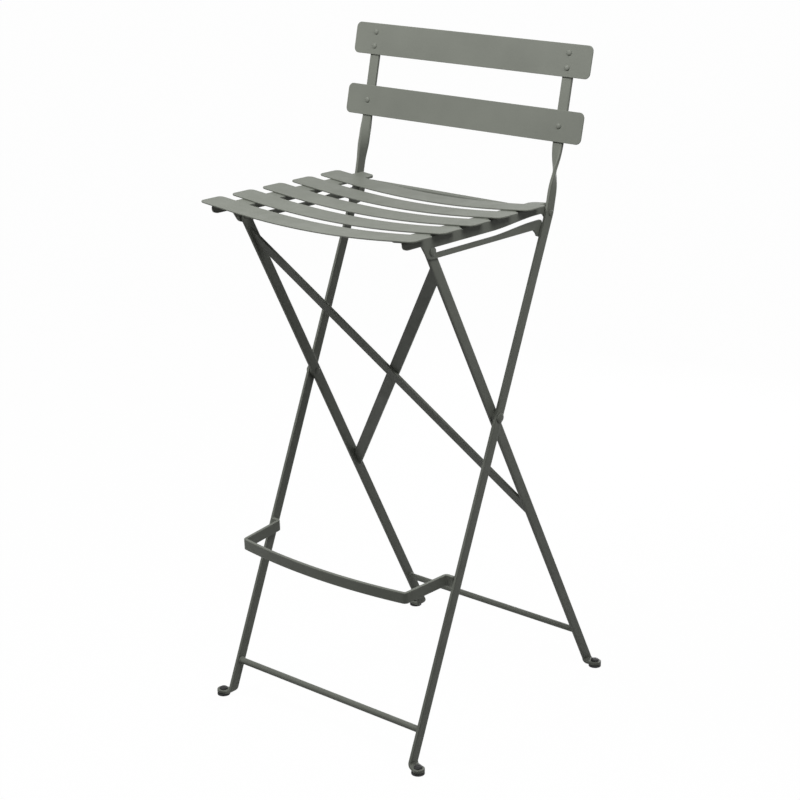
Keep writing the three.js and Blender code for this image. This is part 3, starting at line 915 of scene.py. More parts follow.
@dataclass(frozen=True)
class Foot:
    """A bar's folded end: a round tab that holds the glide, and the bend up to the bar.

    The bar moves by drift in y for each unit that it goes down, and by tab_drift along the
    tab. floor_y is where the bar's line meets the floor.
    """

    drift: float
    tab_drift: float
    floor_y: float
    tab_height: float = 0.004
    tab_diameter: float = 0.019
    tab_reach: float = 0.014
    bend: float = 0.0055
    straight: float = 0.04
    end_steps: int = 7
    bend_steps: int = 8

    @property
    def tab_middle(self) -> float:
        """Height of the tab's middle."""
        return self.tab_height + BAR.thickness / 2

    @property
    def tab_run(self) -> float:
        """Run of the bar from the bend's top to the glide."""
        return self.bend * QUARTER + self.tab_reach - self.bend

    def place_y(self, run: float) -> float:
        """Gives y at a run below the bend's top."""
        return self.floor_y + self.tab_drift * run - self.drift * (self.tab_middle + self.bend)

    def bore(self, middle: float) -> Bore:
        """Gives the glide's hole in the foot of a right-hand bar at a place across."""
        centre = Vector((middle + self.tab_reach, self.place_y(self.tab_run), self.tab_middle))
        return Bore(centre, UP, HOLES.glide, HOLES.depth)

    def sections(self) -> list[Section]:
        """Lays out a right-hand foot, from the tab's round end to the top of the bend.

        Returns:
            The sections, around x = 0.
        """
        half = BAR.width / 2 * math.hypot(1.0, self.drift)
        end = self.tab_diameter / 2
        thick = BAR.thickness / 2
        made = []
        for step in range(self.end_steps, -1, -1):
            turn = ROUND_END * step / self.end_steps
            reach = self.tab_reach + end * math.sin(turn)
            middle = Vector((reach, self.place_y(self.tab_run), self.tab_middle))
            made.append(Section(middle, REAR * (end * math.cos(turn)), UP * thick))
        for step in range(self.bend_steps, -1, -1):
            turn = QUARTER * step / self.bend_steps
            middle = Vector(
                (
                    self.bend * (1 - math.cos(turn)),
                    self.place_y(self.bend * turn),
                    self.tab_middle + self.bend - self.bend * math.sin(turn),
                )
            )
            through = Vector((math.cos(turn), 0.0, math.sin(turn))) * thick
            made.append(Section(middle, REAR * half, through))
        return made


POST_DRIFT = -math.tan(LINES.post_lean)
LEG_DRIFT = math.tan(LINES.leg_lean)
LEG_TAB_SHARE = 0.25
POST_FOOT = Foot(POST_DRIFT, POST_DRIFT, LINES.post_line(0.0))
LEG_FOOT = Foot(LEG_DRIFT, LEG_DRIFT * LEG_TAB_SHARE, LINES.leg_line(0.0))


# ---------------------------------------------------------------- sub-assemblies


def rivet_profile(
    radius: float, height: float, shank: float, length: float, tail: Pair | None = None
) -> list[Pair]:
    """Draws a domed rivet, its head's seat at 0 and its shank towards -X.

    Args:
        radius: the head's radius.
        height: the head's height.
        shank: the shank's radius.
        length: the shank's length.
        tail: radius and height of a head at the other end.

    Returns:
        The profile for a turned piece.
    """

    def dome(size: float, rise: float) -> list[Pair]:
        """Draws a dome from its rim to the axis.

        Args:
            size: its radius.
            rise: its height.

        Returns:
            Pairs of place along the axis and radius.
        """
        steps, rim = 8, 0.12 * rise
        points = [(0.0, size * 0.985), (rim, size)]
        for step in range(1, steps):
            turn = QUARTER * step / steps
            points.append((rim + (rise - rim) * math.sin(turn), size * math.cos(turn) ** 0.85))
        return [*points, (rise, 0.0)]

    if tail is None:
        start = [(-length, 0.0), (-length, shank)]
    else:
        start = [(-length - along, across) for along, across in reversed(dome(*tail))]
        start.append((-length, shank))
    return [*start, (0.0, shank), *dome(radius, height)]


def rod_profile(half: float, radius: float, bead: float = 0.0014) -> list[Pair]:
    """Draws a rod along X whose welded ends swell into a bead.

    Args:
        half: half its length.
        radius: its radius.
        bead: the bead's size.

    Returns:
        The profile for a turned piece.
    """
    steps, bead_run, plain_from = 5, bead * 1.4, 0.006
    end = [(half, 0.0), (half, radius + bead)]
    for step in range(1, steps):
        turn = QUARTER * step / steps
        end.append((half - bead_run * math.sin(turn), radius + bead * math.cos(turn) ** 1.4))
    end += [(half - bead_run, radius), (half - plain_from, radius)]
    return [(-along, across) for along, across in end] + end[::-1]


@dataclass
class Backrest:
    """Two flat slats on the posts' upper ends, and the domed rivets that hold them."""

    thickness: float = 0.002
    corner: float = 0.008
    corner_steps: int = 9
    ease: float = 0.00055
    ease_steps: int = 3
    top: Triple = (0.206, 0.045, 0.210)
    lower: Triple = (0.1173, 0.0434, 0.211)
    rivet_head: Pair = (0.004, 0.002)
    rivet_shank: float = 0.0023
    rivet_pitch: float = 0.0204

    def rows(self) -> dict[str, list[float]]:
        """Gives the rises of the rivets on each slat, from the hinge up the back."""
        middle, half = self.top[0], self.rivet_pitch / 2
        return {"top": [middle - half, middle + half], "lower": [self.lower[0]]}

    def slat(self, label: str, size: Triple) -> None:
        """Makes one slat.

        Args:
            label: which slat it is.
            size: its rise along the back, its width and half its length.
        """
        rise, width, half = size
        work = Workpiece(f"back_slat_{label}")
        work.plate(half * 2, width)
        work.round_points(self.corner, self.corner_steps)
        work.pick_all(Pick.FACES)
        work.turn(Matrix.Rotation(QUARTER, 3, "X"), ORIGIN)
        work.move(REAR * (-self.thickness / 2))
        work.extrude(REAR * self.thickness)
        piece = work.leave()
        ease_edges(piece, self.ease, self.ease_steps)
        post_x = WIDTHS.post - POST_INSET
        places = [
            Vector((side * post_x, 0.0, row - rise))
            for _, side in SIDES
            for row in self.rows()[label]
        ]
        drill(piece, [Bore(place, REAR, HOLES.rivet, HOLES.depth) for place in places])
        middle = -(BAR.thickness / 2 + GAP + self.thickness / 2)
        settle(piece, LINES.back_frame() @ Matrix.Translation((0.0, middle, rise)))
        present(piece, Finish.SLAT, Body.FRAME, f"backrest_slat_{label}")

    def rivets(self) -> None:
        """Makes the rivets."""
        length = GAP * 2 + self.thickness + BAR.thickness
        profile = rivet_profile(*self.rivet_head, self.rivet_shank, length)
        post_x = WIDTHS.post - POST_INSET
        depth = -(BAR.thickness / 2 + GAP + self.thickness)
        copies = []
        for slat, rises in self.rows().items():
            for label, side in SIDES:
                for count, rise in enumerate(rises, 1):
                    name = f"rivet_{slat}_{label}_{count}"
                    place = LINES.back_frame() @ aimed(
                        -REAR, Vector((side * post_x, depth, rise))
                    )
                    copies.append((f"slat_{name}", place, Body.FRAME, f"back_{name}"))
        present_copies(turned("back_rivet_pattern", profile), Finish.SLAT, copies)

    def build(self) -> None:
        """Makes the slats and their rivets."""
        self.slat("top", self.top)
        self.slat("lower", self.lower)
        self.rivets()


@dataclass
class Posts:
    """The long posts with their folded feet and the twist behind the backrest."""

    twist_start: float = 0.025
    twist_length: float = 0.073
    twist_steps: int = 22
    top: float = 0.2245
    bend_reach: float = 0.012
    ease: float = 0.0005

    def sections(self) -> list[Section]:
        """Lays out the right post from its foot to its top.

        Returns:
            The sections, around x = 0.
        """

        def down_back(lean: float) -> Vector:
            """Gives the direction across a bar that leans back."""
            return Vector((0.0, math.cos(lean), -math.sin(lean)))

        wide, thick = BAR.width / 2, BAR.thickness / 2
        post_lean, back_lean, hinge = LINES.post_lean, LINES.back_lean, LINES.hinge
        made = POST_FOOT.sections()
        post_up = Vector((0.0, math.sin(post_lean), math.cos(post_lean)))
        for run in (hinge.z / math.cos(post_lean) - POST_FOOT.straight, self.bend_reach):
            made.append(Section(hinge - post_up * run, down_back(post_lean) * wide, RIGHT * thick))
        reach = wide / math.cos((post_lean - back_lean) / 2)
        made.append(Section(hinge, down_back((post_lean + back_lean) / 2) * reach, RIGHT * thick))
        back = LINES.back_frame()
        made.append(Section(UP * self.bend_reach, REAR * wide, RIGHT * thick).moved(back))
        for step in range(self.twist_steps + 1):
            share = step / self.twist_steps
            turn = smooth(share) * QUARTER
            rise = self.twist_start + share * self.twist_length
            section = Section(
                Vector((-POST_INSET * smooth(share), 0.0, rise)),
                Vector((-math.sin(turn), math.cos(turn), 0.0)) * wide,
                Vector((math.cos(turn), math.sin(turn), 0.0)) * thick,
            )
            made.append(section.moved(back))
        top = Vector((-POST_INSET, 0.0, self.top))
        return [*made, Section(top, RIGHT * -wide, REAR * thick).moved(back)]

    def build(self, rivet_rises: Iterable[float]) -> None:
        """Makes both posts.

        Args:
            rivet_rises: rises of the backrest's rivets.
        """
        shift = Matrix.Translation(RIGHT * WIDTHS.post)
        made = [section.moved(shift) for section in self.sections()]
        piece = Workpiece("upright_right").sweep(made, BAR.ease)
        ease_edges(piece, self.ease)
        back = LINES.back_frame()
        normal = back.to_3x3() @ REAR
        bores = [
            POST_FOOT.bore(WIDTHS.post),
            Bore(LINES.hinge + RIGHT * WIDTHS.post, RIGHT, HOLES.hinge, HOLES.depth),
            Bore(LINES.pivot + RIGHT * WIDTHS.post, RIGHT, HOLES.pivot, HOLES.depth),
        ]
        for rise in rivet_rises:
            centre = back @ Vector((WIDTHS.post - POST_INSET, 0.0, rise))
            bores.append(Bore(centre, normal, HOLES.rivet, HOLES.back_depth))
        drill(piece, bores)
        present_pair(piece, "upright_left", Finish.FRAME, Body.FRAME, "post")


@dataclass
class Glides:
    """The four rubber glides, each a sole under its tab and a plug on top of it."""

    sole: float = 0.0095
    ease: float = 0.0008
    stem: float = 0.0035
    plug: float = 0.00625
    plug_height: float = 0.003
    plug_steps: int = 9
    facets: int = 48
    groove: float = 0.0004
    lip: float = 0.0004
    groove_shares: tuple[float, ...] = (0.62, 0.66, 0.74, 0.78)

    def profile(self) -> list[Pair]:
        """Draws a glide from the middle of its sole to the middle of its plug.

        Returns:
            The profile for a turned piece.
        """
        under = POST_FOOT.tab_height - GAP
        over = POST_FOOT.tab_height + BAR.thickness + GAP
        depths = (0.0, self.groove, self.groove, 0.0)
        points = [(0.0, 0.0)]
        points += [(deep, self.sole * at) for deep, at in zip(depths, self.groove_shares)]
        points += [
            (0.0, self.sole - self.ease),
            (self.ease * 0.3, self.sole - self.ease * 0.3),
            (self.ease, self.sole),
            (under - self.lip, self.sole * 0.985),
            (under, self.sole * 0.95),
            (under, self.stem),
            (over, self.stem),
            (over, self.plug * 0.96),
        ]
        for step in range(self.plug_steps):
            turn = QUARTER * step / self.plug_steps
            rise = (self.plug_height - self.lip) * math.sin(turn) ** 0.9
            points.append((over + self.lip + rise, self.plug * math.cos(turn) ** 0.7))
        top = over + self.plug_height
        return [*points, (top - self.lip / 2, self.plug * 0.2), (top - self.lip * 1.5, 0.0)]

    def build(self) -> None:
        """Makes one glide and copies it to all four feet."""
        copies = []
        for label, side in SIDES:
            for end, middle, foot, body in (
                ("front", WIDTHS.post, POST_FOOT, Body.FRAME),
                ("rear", WIDTHS.leg, LEG_FOOT, Body.LEGS),
            ):
                hole = foot.bore(middle).centre
                place = aimed(UP, Vector((side * hole.x, hole.y, 0.0)))
                copies.append((f"rubber_foot_{end}_{label}", place, body, f"glide_{end}_{label}"))
        pattern = turned("glide_pattern", self.profile(), self.facets)
        present_copies(pattern, Finish.RUBBER, copies)


@dataclass
class RearLegs:
    """The rear legs with their folded feet, the crossed braces and the round crossbar."""

    round_steps: int = 9
    brace_width: float = 0.017
    brace_thickness: float = 0.004
    brace_top: float = 0.260
    brace_bottom: float = 0.182
    crossbar_height: float = 0.0663
    crossbar_radius: float = 0.00465

    def legs(self) -> None:
        """Makes both rear legs."""
        wide, thick = BAR.width / 2, BAR.thickness / 2
        leg = LINES.leg_frame()
        low = -(LINES.pivot.z / math.cos(LINES.leg_lean) - LEG_FOOT.straight)
        made = LEG_FOOT.sections()
        made.append(Section(UP * low, REAR * wide, RIGHT * thick).moved(leg))
        for step in range(self.round_steps + 1):
            turn = ROUND_END * step / self.round_steps
            middle = UP * (LINES.leg_reach + wide * math.sin(turn))
            section = Section(middle, REAR * (wide * math.cos(turn)), RIGHT * thick)
            made.append(section.moved(leg))
        across = RIGHT * WIDTHS.leg
        shift = Matrix.Translation(across)
        made = [section.moved(shift) for section in made]
        piece = Workpiece("leg_right").sweep(made, BAR.ease)
        bores = [
            LEG_FOOT.bore(WIDTHS.leg),
            Bore(LINES.pivot + across, RIGHT, HOLES.pivot, HOLES.depth),
            Bore(LINES.leg_top() + across, RIGHT, HOLES.leg_top, HOLES.depth),
        ]
        drill(piece, bores)
        present_pair(piece, "leg_left", Finish.FRAME, Body.LEGS, "rear_leg")

    def brace(self, label: str, side: int) -> None:
        """Makes one brace.

        Args:
            label: which brace it is.
            side: the side that its upper end points away from.
        """
        reach = WIDTHS.leg_inner
        fall = (self.brace_top + self.brace_bottom) / (reach * 2)
        across = UP * (self.brace_width / 2 * math.hypot(1.0, fall))
        through = REAR * (self.brace_thickness / 2)
        offset = REAR * (-side * (self.brace_thickness + GAP) / 2)
        place = LINES.leg_frame() @ Matrix.Translation(offset)
        ends = [
            Section(Vector((x, 0.0, z)), across, through).moved(place)
            for x, z in ((-side * reach, self.brace_top), (side * reach, -self.brace_bottom))
        ]
        piece = Workpiece(f"cross_brace_{label}").sweep(ends, BAR.ease)
        present(piece, Finish.FRAME, Body.LEGS, f"brace_{label}")

    def build(self) -> None:
        """Makes the legs, the braces and the crossbar."""
        self.legs()
        self.brace("falling", 1)
        self.brace("rising", -1)
        bar = turned("crossbar_rear", rod_profile(WIDTHS.leg_inner, self.crossbar_radius))
        drop = (LINES.pivot.z - self.crossbar_height) / math.cos(LINES.leg_lean)
        settle(bar, LINES.leg_frame() @ Matrix.Translation(UP * -drop))
        present(bar, Finish.FRAME, Body.LEGS, "rear_crossbar")


@dataclass
class Crossings:
    """What joins the posts: the front crossbar, the bowed footrest and the hinge rod."""

    crossbar_height: float = 0.052
    crossbar_radius: float = 0.00465
    rod_radius: float = 0.0035
    rod_head: Pair = (0.0045, 0.0018)
    rest_height: float = 0.249
    rest_tilt: float = math.radians(2.8)
    rest_depth: float = 0.016
    rest_thickness: float = 0.005
    rest_half: float = 0.151
    rest_flare: float = 0.007
    rest_reach: float = 0.085
    rest_bow: float = 0.013
    rest_setback: float = 0.0062
    rest_bend: float = 0.0045
    bend_steps: int = 7
    bow_steps: int = 26

    def rest_line(self) -> list[Vector]:
        """Draws the middle line of the footrest's bar, from the right end to the left.

        Returns:
            Its points, from the line where it meets the posts.
        """
        half = self.rest_half
        step = half * 2 / self.bow_steps

        def arch(x: float) -> Vector:
            """Gives the bow's point at a place across the stool."""
            return Vector((x, -self.rest_reach - self.rest_bow * (1 - (x / half) ** 2), 0.0))

        corners = [
            Vector((WIDTHS.post_inner, -self.rest_setback, 0.0)),
            Vector((half + self.rest_flare, -self.rest_setback, 0.0)),
            arch(half),
            arch(half - step),
        ]
        right = round_corners(corners, self.rest_bend, self.bend_steps)
        left = [Vector((-point.x, point.y, point.z)) for point in reversed(right)]
        middle = [arch(half - step * count) for count in range(2, self.bow_steps - 1)]
        return [*right, *middle, *left]

    def footrest(self) -> None:
        """Makes the footrest from one bent bar."""
        line = self.rest_line()
        place = Matrix.Translation((0.0, LINES.post_line(self.rest_height), self.rest_height))
        place = place @ Matrix.Rotation(self.rest_tilt, 4, "X")
        sections = []
        for count, point in enumerate(line):
            before = line[max(count - 1, 0)]
            after = line[min(count + 1, len(line) - 1)]
            runs = [run.normalized() for run in (point - before, after - point) if run.length > 0]
            along = sum(runs, Vector()).normalized()
            widen = 1 / along.dot(runs[0])
            if count in (0, len(line) - 1):
                along, widen = RIGHT * -1, 1.0
            through = along.cross(UP) * (self.rest_thickness / 2 * widen)
            sections.append(Section(point, UP * (self.rest_depth / 2), through).moved(place))
        piece = Workpiece("foot_bar").sweep(sections, BAR.ease)
        present(piece, Finish.FRAME, Body.FRAME, "footrest")

    def build(self) -> None:
        """Makes the crossbar, the footrest and the hinge rod."""
        bar = turned("crossbar_front", rod_profile(WIDTHS.post_inner, self.crossbar_radius))
        height = self.crossbar_height
        settle(bar, Matrix.Translation((0.0, LINES.post_line(height), height)))
        present(bar, Finish.FRAME, Body.FRAME, "front_crossbar")
        self.footrest()
        half = WIDTHS.frame + GAP
        profile = rivet_profile(*self.rod_head, self.rod_radius, half * 2, self.rod_head)
        rod = turned("hinge_rod", profile)
        settle(rod, Matrix.Translation(LINES.hinge + RIGHT * half))
        present(rod, Finish.FRAME, Body.FRAME, "seat_hinge_rod")


def round_corners(corners: Sequence[Vector], radius: float, steps: int) -> list[Vector]:
    """Rounds the inner corners of a line with arcs.

    Args:
        corners: the line's corners, in one level plane.
        radius: the arcs' radius.
        steps: pieces of each arc.

    Returns:
        The rounded line.
    """
    points = [corners[0]]
    for before, corner, after in zip(corners, corners[1:], corners[2:]):
        back, ahead = (before - corner).normalized(), (after - corner).normalized()
        half = back.angle(ahead) / 2
        centre = corner + (back + ahead).normalized() * (radius / math.sin(half))
        spoke = corner + back * (radius / math.tan(half)) - centre
        sweep = math.pi - half * 2
        if spoke.cross(ahead).z < 0:
            sweep = -sweep
        for step in range(steps + 1):
            points.append(centre + Matrix.Rotation(sweep * step / steps, 3, "Z") @ spoke)
    return [*points, corners[-1]]


@dataclass
class Pivots:
    """The rivets and spacer rings that the rear legs turn on, and the rivets at their tops."""

    head: Pair = (0.007, 0.0032)
    tail: Pair = (0.00475, 0.002)
    shank: float = 0.003
    ring_radius: float = 0.0075
    ring_edge: float = 0.0003
    top_head: Pair = (0.005, 0.002)
    top_shank: float = 0.002

    def ring_profile(self, half: float) -> list[Pair]:
        """Draws the closed outline of a spacer ring.

        Args:
            half: half its length.

        Returns:
            The profile for a turned piece.
        """
        edge, radius = self.ring_edge, self.ring_radius
        right = [(half - edge, radius), (half, radius - edge), (half, HOLES.pivot)]
        left = [(-along, across) for along, across in reversed(right)]
        return [*left, *right, left[0]]

    def build(self) -> None:
        """Makes the rivets and the rings on both sides."""
        grip = WIDTHS.frame - WIDTHS.leg_inner + GAP * 2
        inner, outer = WIDTHS.leg_outer + GAP, WIDTHS.post_inner - GAP
        rivet = rivet_profile(*self.head, self.shank, grip, self.tail)
        ring = self.ring_profile((outer - inner) / 2)
        stud = rivet_profile(*self.top_head, self.top_shank, BAR.thickness + GAP)
        kinds = (
            (turned("pivot_pattern", rivet), "pivot_rivet", "leg_pivot_rivet", Body.FRAME,
             LINES.pivot, WIDTHS.frame + GAP, 1),
            (turned("ring_pattern", ring), "pivot_ring", "pivot_spacer", Body.FRAME,
             LINES.pivot, (inner + outer) / 2, 1),
            (turned("stud_pattern", stud), "leg_top_stud", "leg_top_rivet", Body.LEGS,
             LINES.leg_top(), WIDTHS.leg_inner - GAP, -1),
        )
        for label, side in SIDES:
            for pattern, name, node, body, centre, reach, way in kinds:
                place = aimed(RIGHT * (side * way), centre + RIGHT * (side * reach))
                piece = copy_of(pattern, f"{name}_{label}", place)
                present(piece, Finish.FRAME, body, f"{node}_{label}")
        for pattern, *_ in kinds:
            bpy.data.objects.remove(pattern)


@dataclass
class Seat:
    """The dished slats, the folded rails under them, and the pins in the rails' slots."""

    height: float = 0.7485
    front: float = 0.310
    count: int = 5
    pitch: float = 0.0602
    slat_width: float = 0.0422
    slat_thickness: float = 0.002
    slat_half: float = 0.190
    slat_ease: float = 0.0006
    end_steps: int = 4
    corner: float = 0.008
    corner_steps: int = 8
    dish_half: float = 0.140
    dish_tilt: float = math.radians(5.5)
    dish_steps: int = 30
    sheet: float = 0.003
    sheet_ease: float = 0.0004
    sheet_limit: float = 60.0
    flange_width: float = 0.0286
    flange_corner: float = 0.009
    flange_overrun: float = 0.0022
    flange_setback: float = 0.006
    setback: float = 0.0046
    fold_radius: float = 0.0036
    fold_steps: int = 8
    fold_run: float = 0.001
    nose_depth: float = 0.0124
    nose_reach: float = 0.0108
    slot_height: float = 0.008
    slot_lift: float = 0.0008
    slot_runout: float = 0.002
    slot_rise: float = 0.005
    slot_rise_front: float = 0.122
    slot_rise_length: float = 0.096
    slot_hook: float = 0.008
    slot_hook_back: float = 0.0158
    slot_steps: int = 12
    lower_bar: float = 0.007
    lug_front: float = 0.0216
    lug_slope: float = 0.0145
    lug_share: float = 0.3
    beak_reach: float = 0.0295
    beak_depth: float = 0.0327
    beak_shares: tuple[Pair, ...] = ((1.0, 0.642), (0.83, 0.78), (0.745, 0.911), (0.49, 1.0))
    heel_shares: tuple[Pair, ...] = ((0.09, 1.05), (-0.12, 0.86))
    eye: float = 0.0116
    eye_start: float = -math.pi / 6
    eye_steps: int = 14
    hole_steps: int = 28
    pin_head: Pair = (0.006, 0.0023)
    pin_shank: float = 0.002

    def dish(self, x: float) -> float:
        """Gives how high the dish stands above its lowest line.

        Args:
            x: place across the stool.

        Returns:
            The rise.
        """
        reach = min(abs(x), self.dish_half)
        radius = self.dish_half / math.sin(self.dish_tilt)
        curve = radius - math.sqrt(radius * radius - reach * reach)
        return curve + (abs(x) - reach) * math.tan(self.dish_tilt)

    def slat_top(self, x: float) -> float:
        """Gives the height of the slats' top above the hinge."""
        return self.height - LINES.hinge.z - self.dish(self.slat_half) + self.dish(x)

    def flange_top(self, x: float) -> float:
        """Gives the height of the flange's top above the hinge."""
        return self.slat_top(x) - (self.slat_thickness + GAP) / math.cos(self.dish_tilt)

    def slats(self) -> None:
        """Makes one dished slat and copies it along the rails."""
        straight = (self.slat_half - self.dish_half) / self.end_steps
        ends = [self.slat_half - straight * step for step in range(self.end_steps)]
        shares = [2 * step / self.dish_steps - 1 for step in range(self.dish_steps + 1)]
        stations = [-x for x in ends] + [self.dish_half * share for share in shares] + ends[::-1]
        tops = [Vector((x, 0.0, self.slat_top(x))) for x in stations]
        wide = REAR * (self.slat_width / 2)
        work = Workpiece("slat_pattern")
        work.trace([tops[0] - wide, tops[0] + wide])
        work.pick_all(Pick.EDGES)
        for before, after in pairwise(tops):
            work.extrude(after - before)
        corners = [top + wide * way for top in (tops[0], tops[-1]) for way in (-1, 1)]
        work.pick(Pick.POINTS, near_any(corners))
        work.round_points(self.corner, self.corner_steps)
        pattern = work.leave()
        thicken(pattern, self.slat_thickness)
        ease_edges(pattern, self.slat_ease, 3)
        copies = []
        for count in range(self.count):
            y = self.slat_width / 2 - self.front + self.pitch * count
            name = f"slat_{count + 1}"
            place = Matrix.Translation(LINES.hinge + REAR * y)
            copies.append((name, place, Body.SEAT, f"seat_{name}"))
        present_copies(pattern, Finish.SLAT, copies)

    def pin(self) -> Vector:
        """Gives the slot pin's place at rest, from the hinge."""
        return LINES.leg_top() - LINES.hinge

    def slot_line(self) -> list[Vector]:
        """Draws the slot's middle line, from the pin's end to the hook at the hinge.

        Returns:
            Its points from the hinge, in the plane x = 0.
        """
        level = self.pin().z + self.slot_lift
        points = [(self.pin().y - self.slot_runout, level)]
        for step in range(self.slot_steps + 1):
            share = step / self.slot_steps
            along = -self.slot_rise_front + share * self.slot_rise_length
            points.append((along, level + self.slot_rise * smooth(share)))
        hook_steps = self.slot_steps // 2
        for step in range(hook_steps + 1):
            turn = QUARTER * step / hook_steps
            drop = self.slot_hook * (1 - math.cos(turn))
            along = self.slot_hook * math.sin(turn) - self.slot_hook_back
            points.append((along, level + self.slot_rise - drop))
        return [Vector((0.0, y, z)) for y, z in points]

    def slot_outline(self) -> list[Vector]:
        """Draws the slot at an even distance round its middle line, with round ends.

        Returns:
            Its corners, in the plane x = 0.
        """
        line = self.slot_line()
        steps = self.corner_steps
        spokes = []
        for count in range(len(line)):
            before, after = line[max(count - 1, 0)], line[min(count + 1, len(line) - 1)]
            spokes.append(RIGHT.cross((after - before).normalized()) * (self.slot_height / 2))
        upper = [point + spoke for point, spoke in zip(line, spokes)]
        lower = [point - spoke for point, spoke in zip(line, spokes)]
        far, near = (
            [
                centre + Matrix.Rotation(-math.pi * step / steps, 3, "X") @ start
                for step in range(1, steps)
            ]
            for centre, start in ((line[-1], spokes[-1]), (line[0], -spokes[0]))
        )
        return [*upper, *far, *reversed(lower), *near]

    def web_outline(self, fold: float) -> list[Vector]:
        """Draws the rail's web, clockwise from the front of its fold.

        Args:
            fold: height of the fold above the hinge.

        Returns:
            Its corners, in the plane x = 0.
        """
        front = self.setback - self.front
        pin = self.pin()
        underside = pin.z + self.slot_lift - self.slot_height / 2 - self.lower_bar
        nose = self.flange_top(WIDTHS.web_outer) - self.nose_depth
        top = self.flange_top(WIDTHS.web_inner) - self.sheet / 2
        lug = pin.y - self.lug_front
        low = lug + self.lug_slope
        share = self.lug_share
        joint = (low + (lug - low) * share, underside + (nose - underside) * share)
        beak, heel = (
            [(-self.beak_reach * a, -self.beak_depth * d) for a, d in shares]
            for shares in (self.beak_shares, self.heel_shares)
        )
        points = [
            (front, fold),
            *quadratic(
                (front, fold - self.fold_run), (front, nose), (front + self.nose_reach, nose)
            ),
            (lug, nose),
            *quadratic(joint, (low, underside), (pin.y, underside)),
            (-self.beak_reach, underside),
            *beak,
            *quadratic(beak[-1], *heel)[1:],
        ]
        rise = math.asin(top / self.eye)
        for step in range(self.eye_steps + 1):
            turn = self.eye_start + (rise - self.eye_start) * step / self.eye_steps
            points.append((self.eye * math.cos(turn), self.eye * math.sin(turn)))
        points += [(self.flange_overrun + self.fold_run, top), (self.flange_overrun, fold)]
        return [Vector((0.0, y, z)) for y, z in points]

    def rails(self) -> None:
        """Makes both rails, each one folded sheet."""
        outer = WIDTHS.web_outer
        tilt, radius = self.dish_tilt, self.fold_radius
        fold = self.flange_top(outer) - radius * (1 + math.sin(tilt)) / math.cos(tilt)
        work = Workpiece("rail_right")
        work.trace(self.web_outline(fold), closed=True)
        work.trace_more(self.slot_outline())
        turns = [math.tau * step / self.hole_steps for step in range(self.hole_steps)]
        work.trace_more(
            [Vector((0.0, math.cos(turn), math.sin(turn))) * HOLES.hinge for turn in turns]
        )
        work.pick_all(Pick.EDGES)
        bpy.ops.mesh.fill(use_beauty=True)
        work.pick_all(Pick.POINTS)
        work.move(LINES.hinge + RIGHT * outer)
        front = LINES.hinge.y + self.setback - self.front
        rear = LINES.hinge.y + self.flange_overrun
        centre = Vector((outer - radius, 0.0, LINES.hinge.z + fold))
        crease = Vector((outer, (front + rear) / 2, centre.z))
        work.pick(Pick.EDGES, near_any([crease]))
        bpy.ops.mesh.spin(
            steps=self.fold_steps, angle=QUARTER + tilt, center=centre, axis=REAR
        )
        inner = outer - self.flange_width
        arc_end = centre.x - radius * math.sin(tilt)
        run = arc_end - inner
        work.extrude(Vector((-run, 0.0, -run * math.tan(tilt))))
        work.pick(
            Pick.POINTS, lambda place: place.x < arc_end + NEAR and abs(place.y - front) < NEAR
        )
        work.move(REAR * self.flange_setback)
        work.pick(Pick.POINTS, lambda place: abs(place.x - inner) < NEAR)
        work.round_points(self.flange_corner, self.corner_steps)
        work.merge_doubles()
        piece = work.leave()
        thicken(piece, self.sheet)
        ease_edges(piece, self.sheet_ease, 2, self.sheet_limit)
        present_pair(piece, "rail_left", Finish.SLAT, Body.SEAT, "seat_rail")

    def pins(self) -> None:
        """Makes the headed pins that slide in the slots."""
        profile = rivet_profile(*self.pin_head, self.pin_shank, self.sheet + GAP)
        copies = []
        for label, side in SIDES:
            out = RIGHT * side
            place = LINES.hinge + self.pin() + out * (WIDTHS.web_outer + GAP)
            copies.append(
                (f"sliding_pin_{label}", aimed(out, place), Body.PINS, f"slot_pin_{label}")
            )
        present_copies(turned("pin_pattern", profile), Finish.FRAME, copies)

    def build(self) -> None:
        """Makes the slats, the rails and the pins."""
        self.slats()
        self.rails()
        self.pins()


def quadratic(start: Pair, control: Pair, end: Pair, steps: int = 10) -> list[Pair]:
    """Draws a curve with one control point.

    Args:
        start: its first point.
        control: what it bends towards.
        end: its last point.
        steps: its pieces.

    Returns:
        Points along it, both ends among them.
    """
    points = []
    for step in range(steps + 1):
        t = step / steps
        first, bend, last = (1 - t) ** 2, 2 * t * (1 - t), t * t
        axes = zip(start, control, end)
        points.append(tuple(first * a + bend * b + last * c for a, b, c in axes))
    return points


# ---------------------------------------------------------------- studio


@dataclass(frozen=True)
class Softbox:
    """One large soft lamp."""

    name: str
    place: Triple
    size: float
    power: float


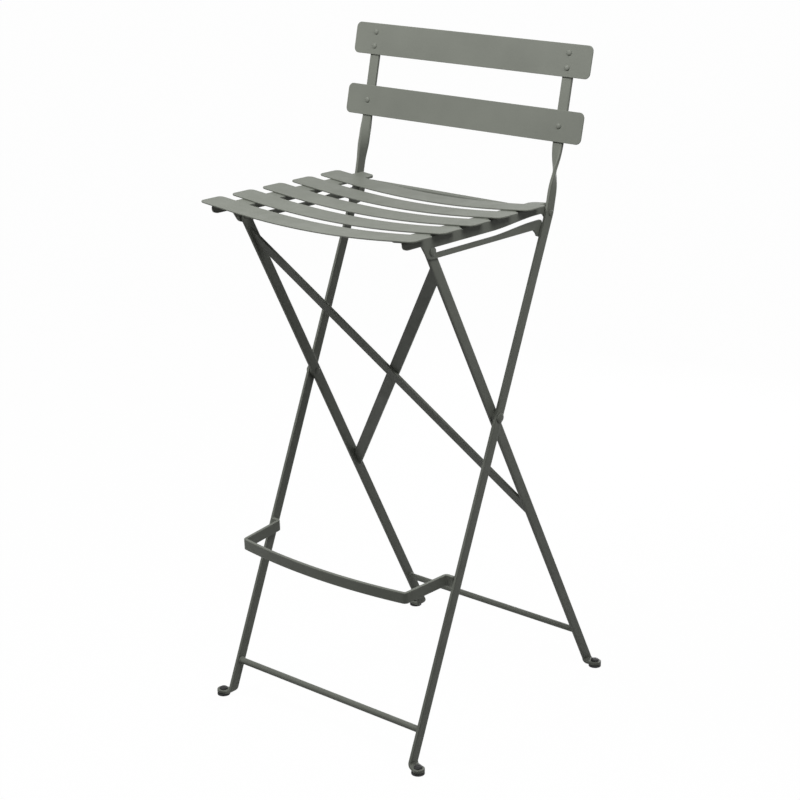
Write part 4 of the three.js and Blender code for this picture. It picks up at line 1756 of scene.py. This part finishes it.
@dataclass
class Studio:
    """A pale floor, soft light and the camera at the photograph's view."""

    target: Triple = (0.0, 0.0, 0.7)
    world_strength: float = 0.08
    floor_size: float = 24.0
    floor_corner: float = 8.0
    floor_steps: int = 12
    floor_tone: Triple = (120, 120, 120)
    floor_roughness: float = 0.9
    floor_specular: float = 0.1
    floor_lift: float = 0.92
    floor_glow: float = 1.07
    boxes: tuple[Softbox, ...] = (
        Softbox("front_softbox", (-0.4, -0.75, 1.75), 0.6, 17.5),
        Softbox("side_softbox", (0.9, -0.2, 1.5), 0.6, 6.6),
        Softbox("rear_softbox", (-0.5, 1.7, 0.75), 0.6, 14.0),
    )
    camera_place: Triple = (1.7062, -2.0479, 1.3080)
    camera_turn: Triple = (QUARTER - 0.313, 0.0, 0.702)
    lens: float = 87.72
    sensor_width: float = 36.0

    def floor(self) -> None:
        """Makes a wide pale floor that keeps the stool's shadow."""
        work = Workpiece("studio_floor")
        work.plate(self.floor_size, self.floor_size)
        work.round_points(self.floor_corner, self.floor_steps)
        bpy.ops.object.mode_set(mode="OBJECT")
        piece = work.object
        sheet = NodeSheet(bpy.data.materials.new("studio_floor"))
        sheet.put(
            sheet.shader, base_color=(*linear(self.floor_tone), 1.0), roughness=self.floor_roughness
        )
        sheet.shader.inputs["Specular IOR Level"].default_value = self.floor_specular
        sheet.show_white("ShaderNodeEmission", self.floor_glow, self.floor_lift)
        piece.data.materials.append(sheet.owner)

    def world(self) -> None:
        """Lights the stool evenly, in front of a white background."""
        world = bpy.data.worlds.new("studio_white")
        bpy.context.scene.world = world
        sheet = NodeSheet(world)
        sheet.put(sheet.shader, color=WHITE, strength=self.world_strength)
        sheet.show_white("ShaderNodeBackground", 1.0, 1.0)

    def lamps(self) -> None:
        """Hangs the softboxes round the stool."""
        for box in self.boxes:
            deselect()
            bpy.ops.object.light_add(type="AREA", location=box.place)
            lamp = bpy.context.object
            lamp.name = box.name
            lamp.data.shape = "DISK"
            lamp.data.size = box.size
            lamp.data.energy = box.power
            lamp.visible_camera = False
            away = Vector(self.target) - Vector(box.place)
            lamp.rotation_euler = away.to_track_quat("-Z", "Y").to_euler()

    def camera(self) -> None:
        """Sets the camera at the photograph's view."""
        deselect()
        bpy.ops.object.camera_add(location=self.camera_place, rotation=self.camera_turn)
        camera = bpy.context.object
        camera.name = "photograph_camera"
        camera.data.lens = self.lens
        camera.data.sensor_width = self.sensor_width
        bpy.context.scene.camera = camera

    def build(self) -> None:
        """Makes the whole studio."""
        self.floor()
        self.world()
        self.lamps()
        self.camera()
        bpy.context.scene.view_settings.view_transform = "Standard"


def main() -> None:
    """Builds the stool piece by piece, then the studio."""
    logging.basicConfig(level=logging.INFO, format="%(name)s %(message)s")
    for finish in Finish:
        COATS[finish] = finish.value.material()
    backrest = Backrest()
    backrest.build()
    Posts().build(rise for rises in backrest.rows().values() for rise in rises)
    Glides().build()
    Crossings().build()
    Pivots().build()
    RearLegs().build()
    Seat().build()
    Studio().build()
    deselect()


if __name__ == "__main__":
    main()
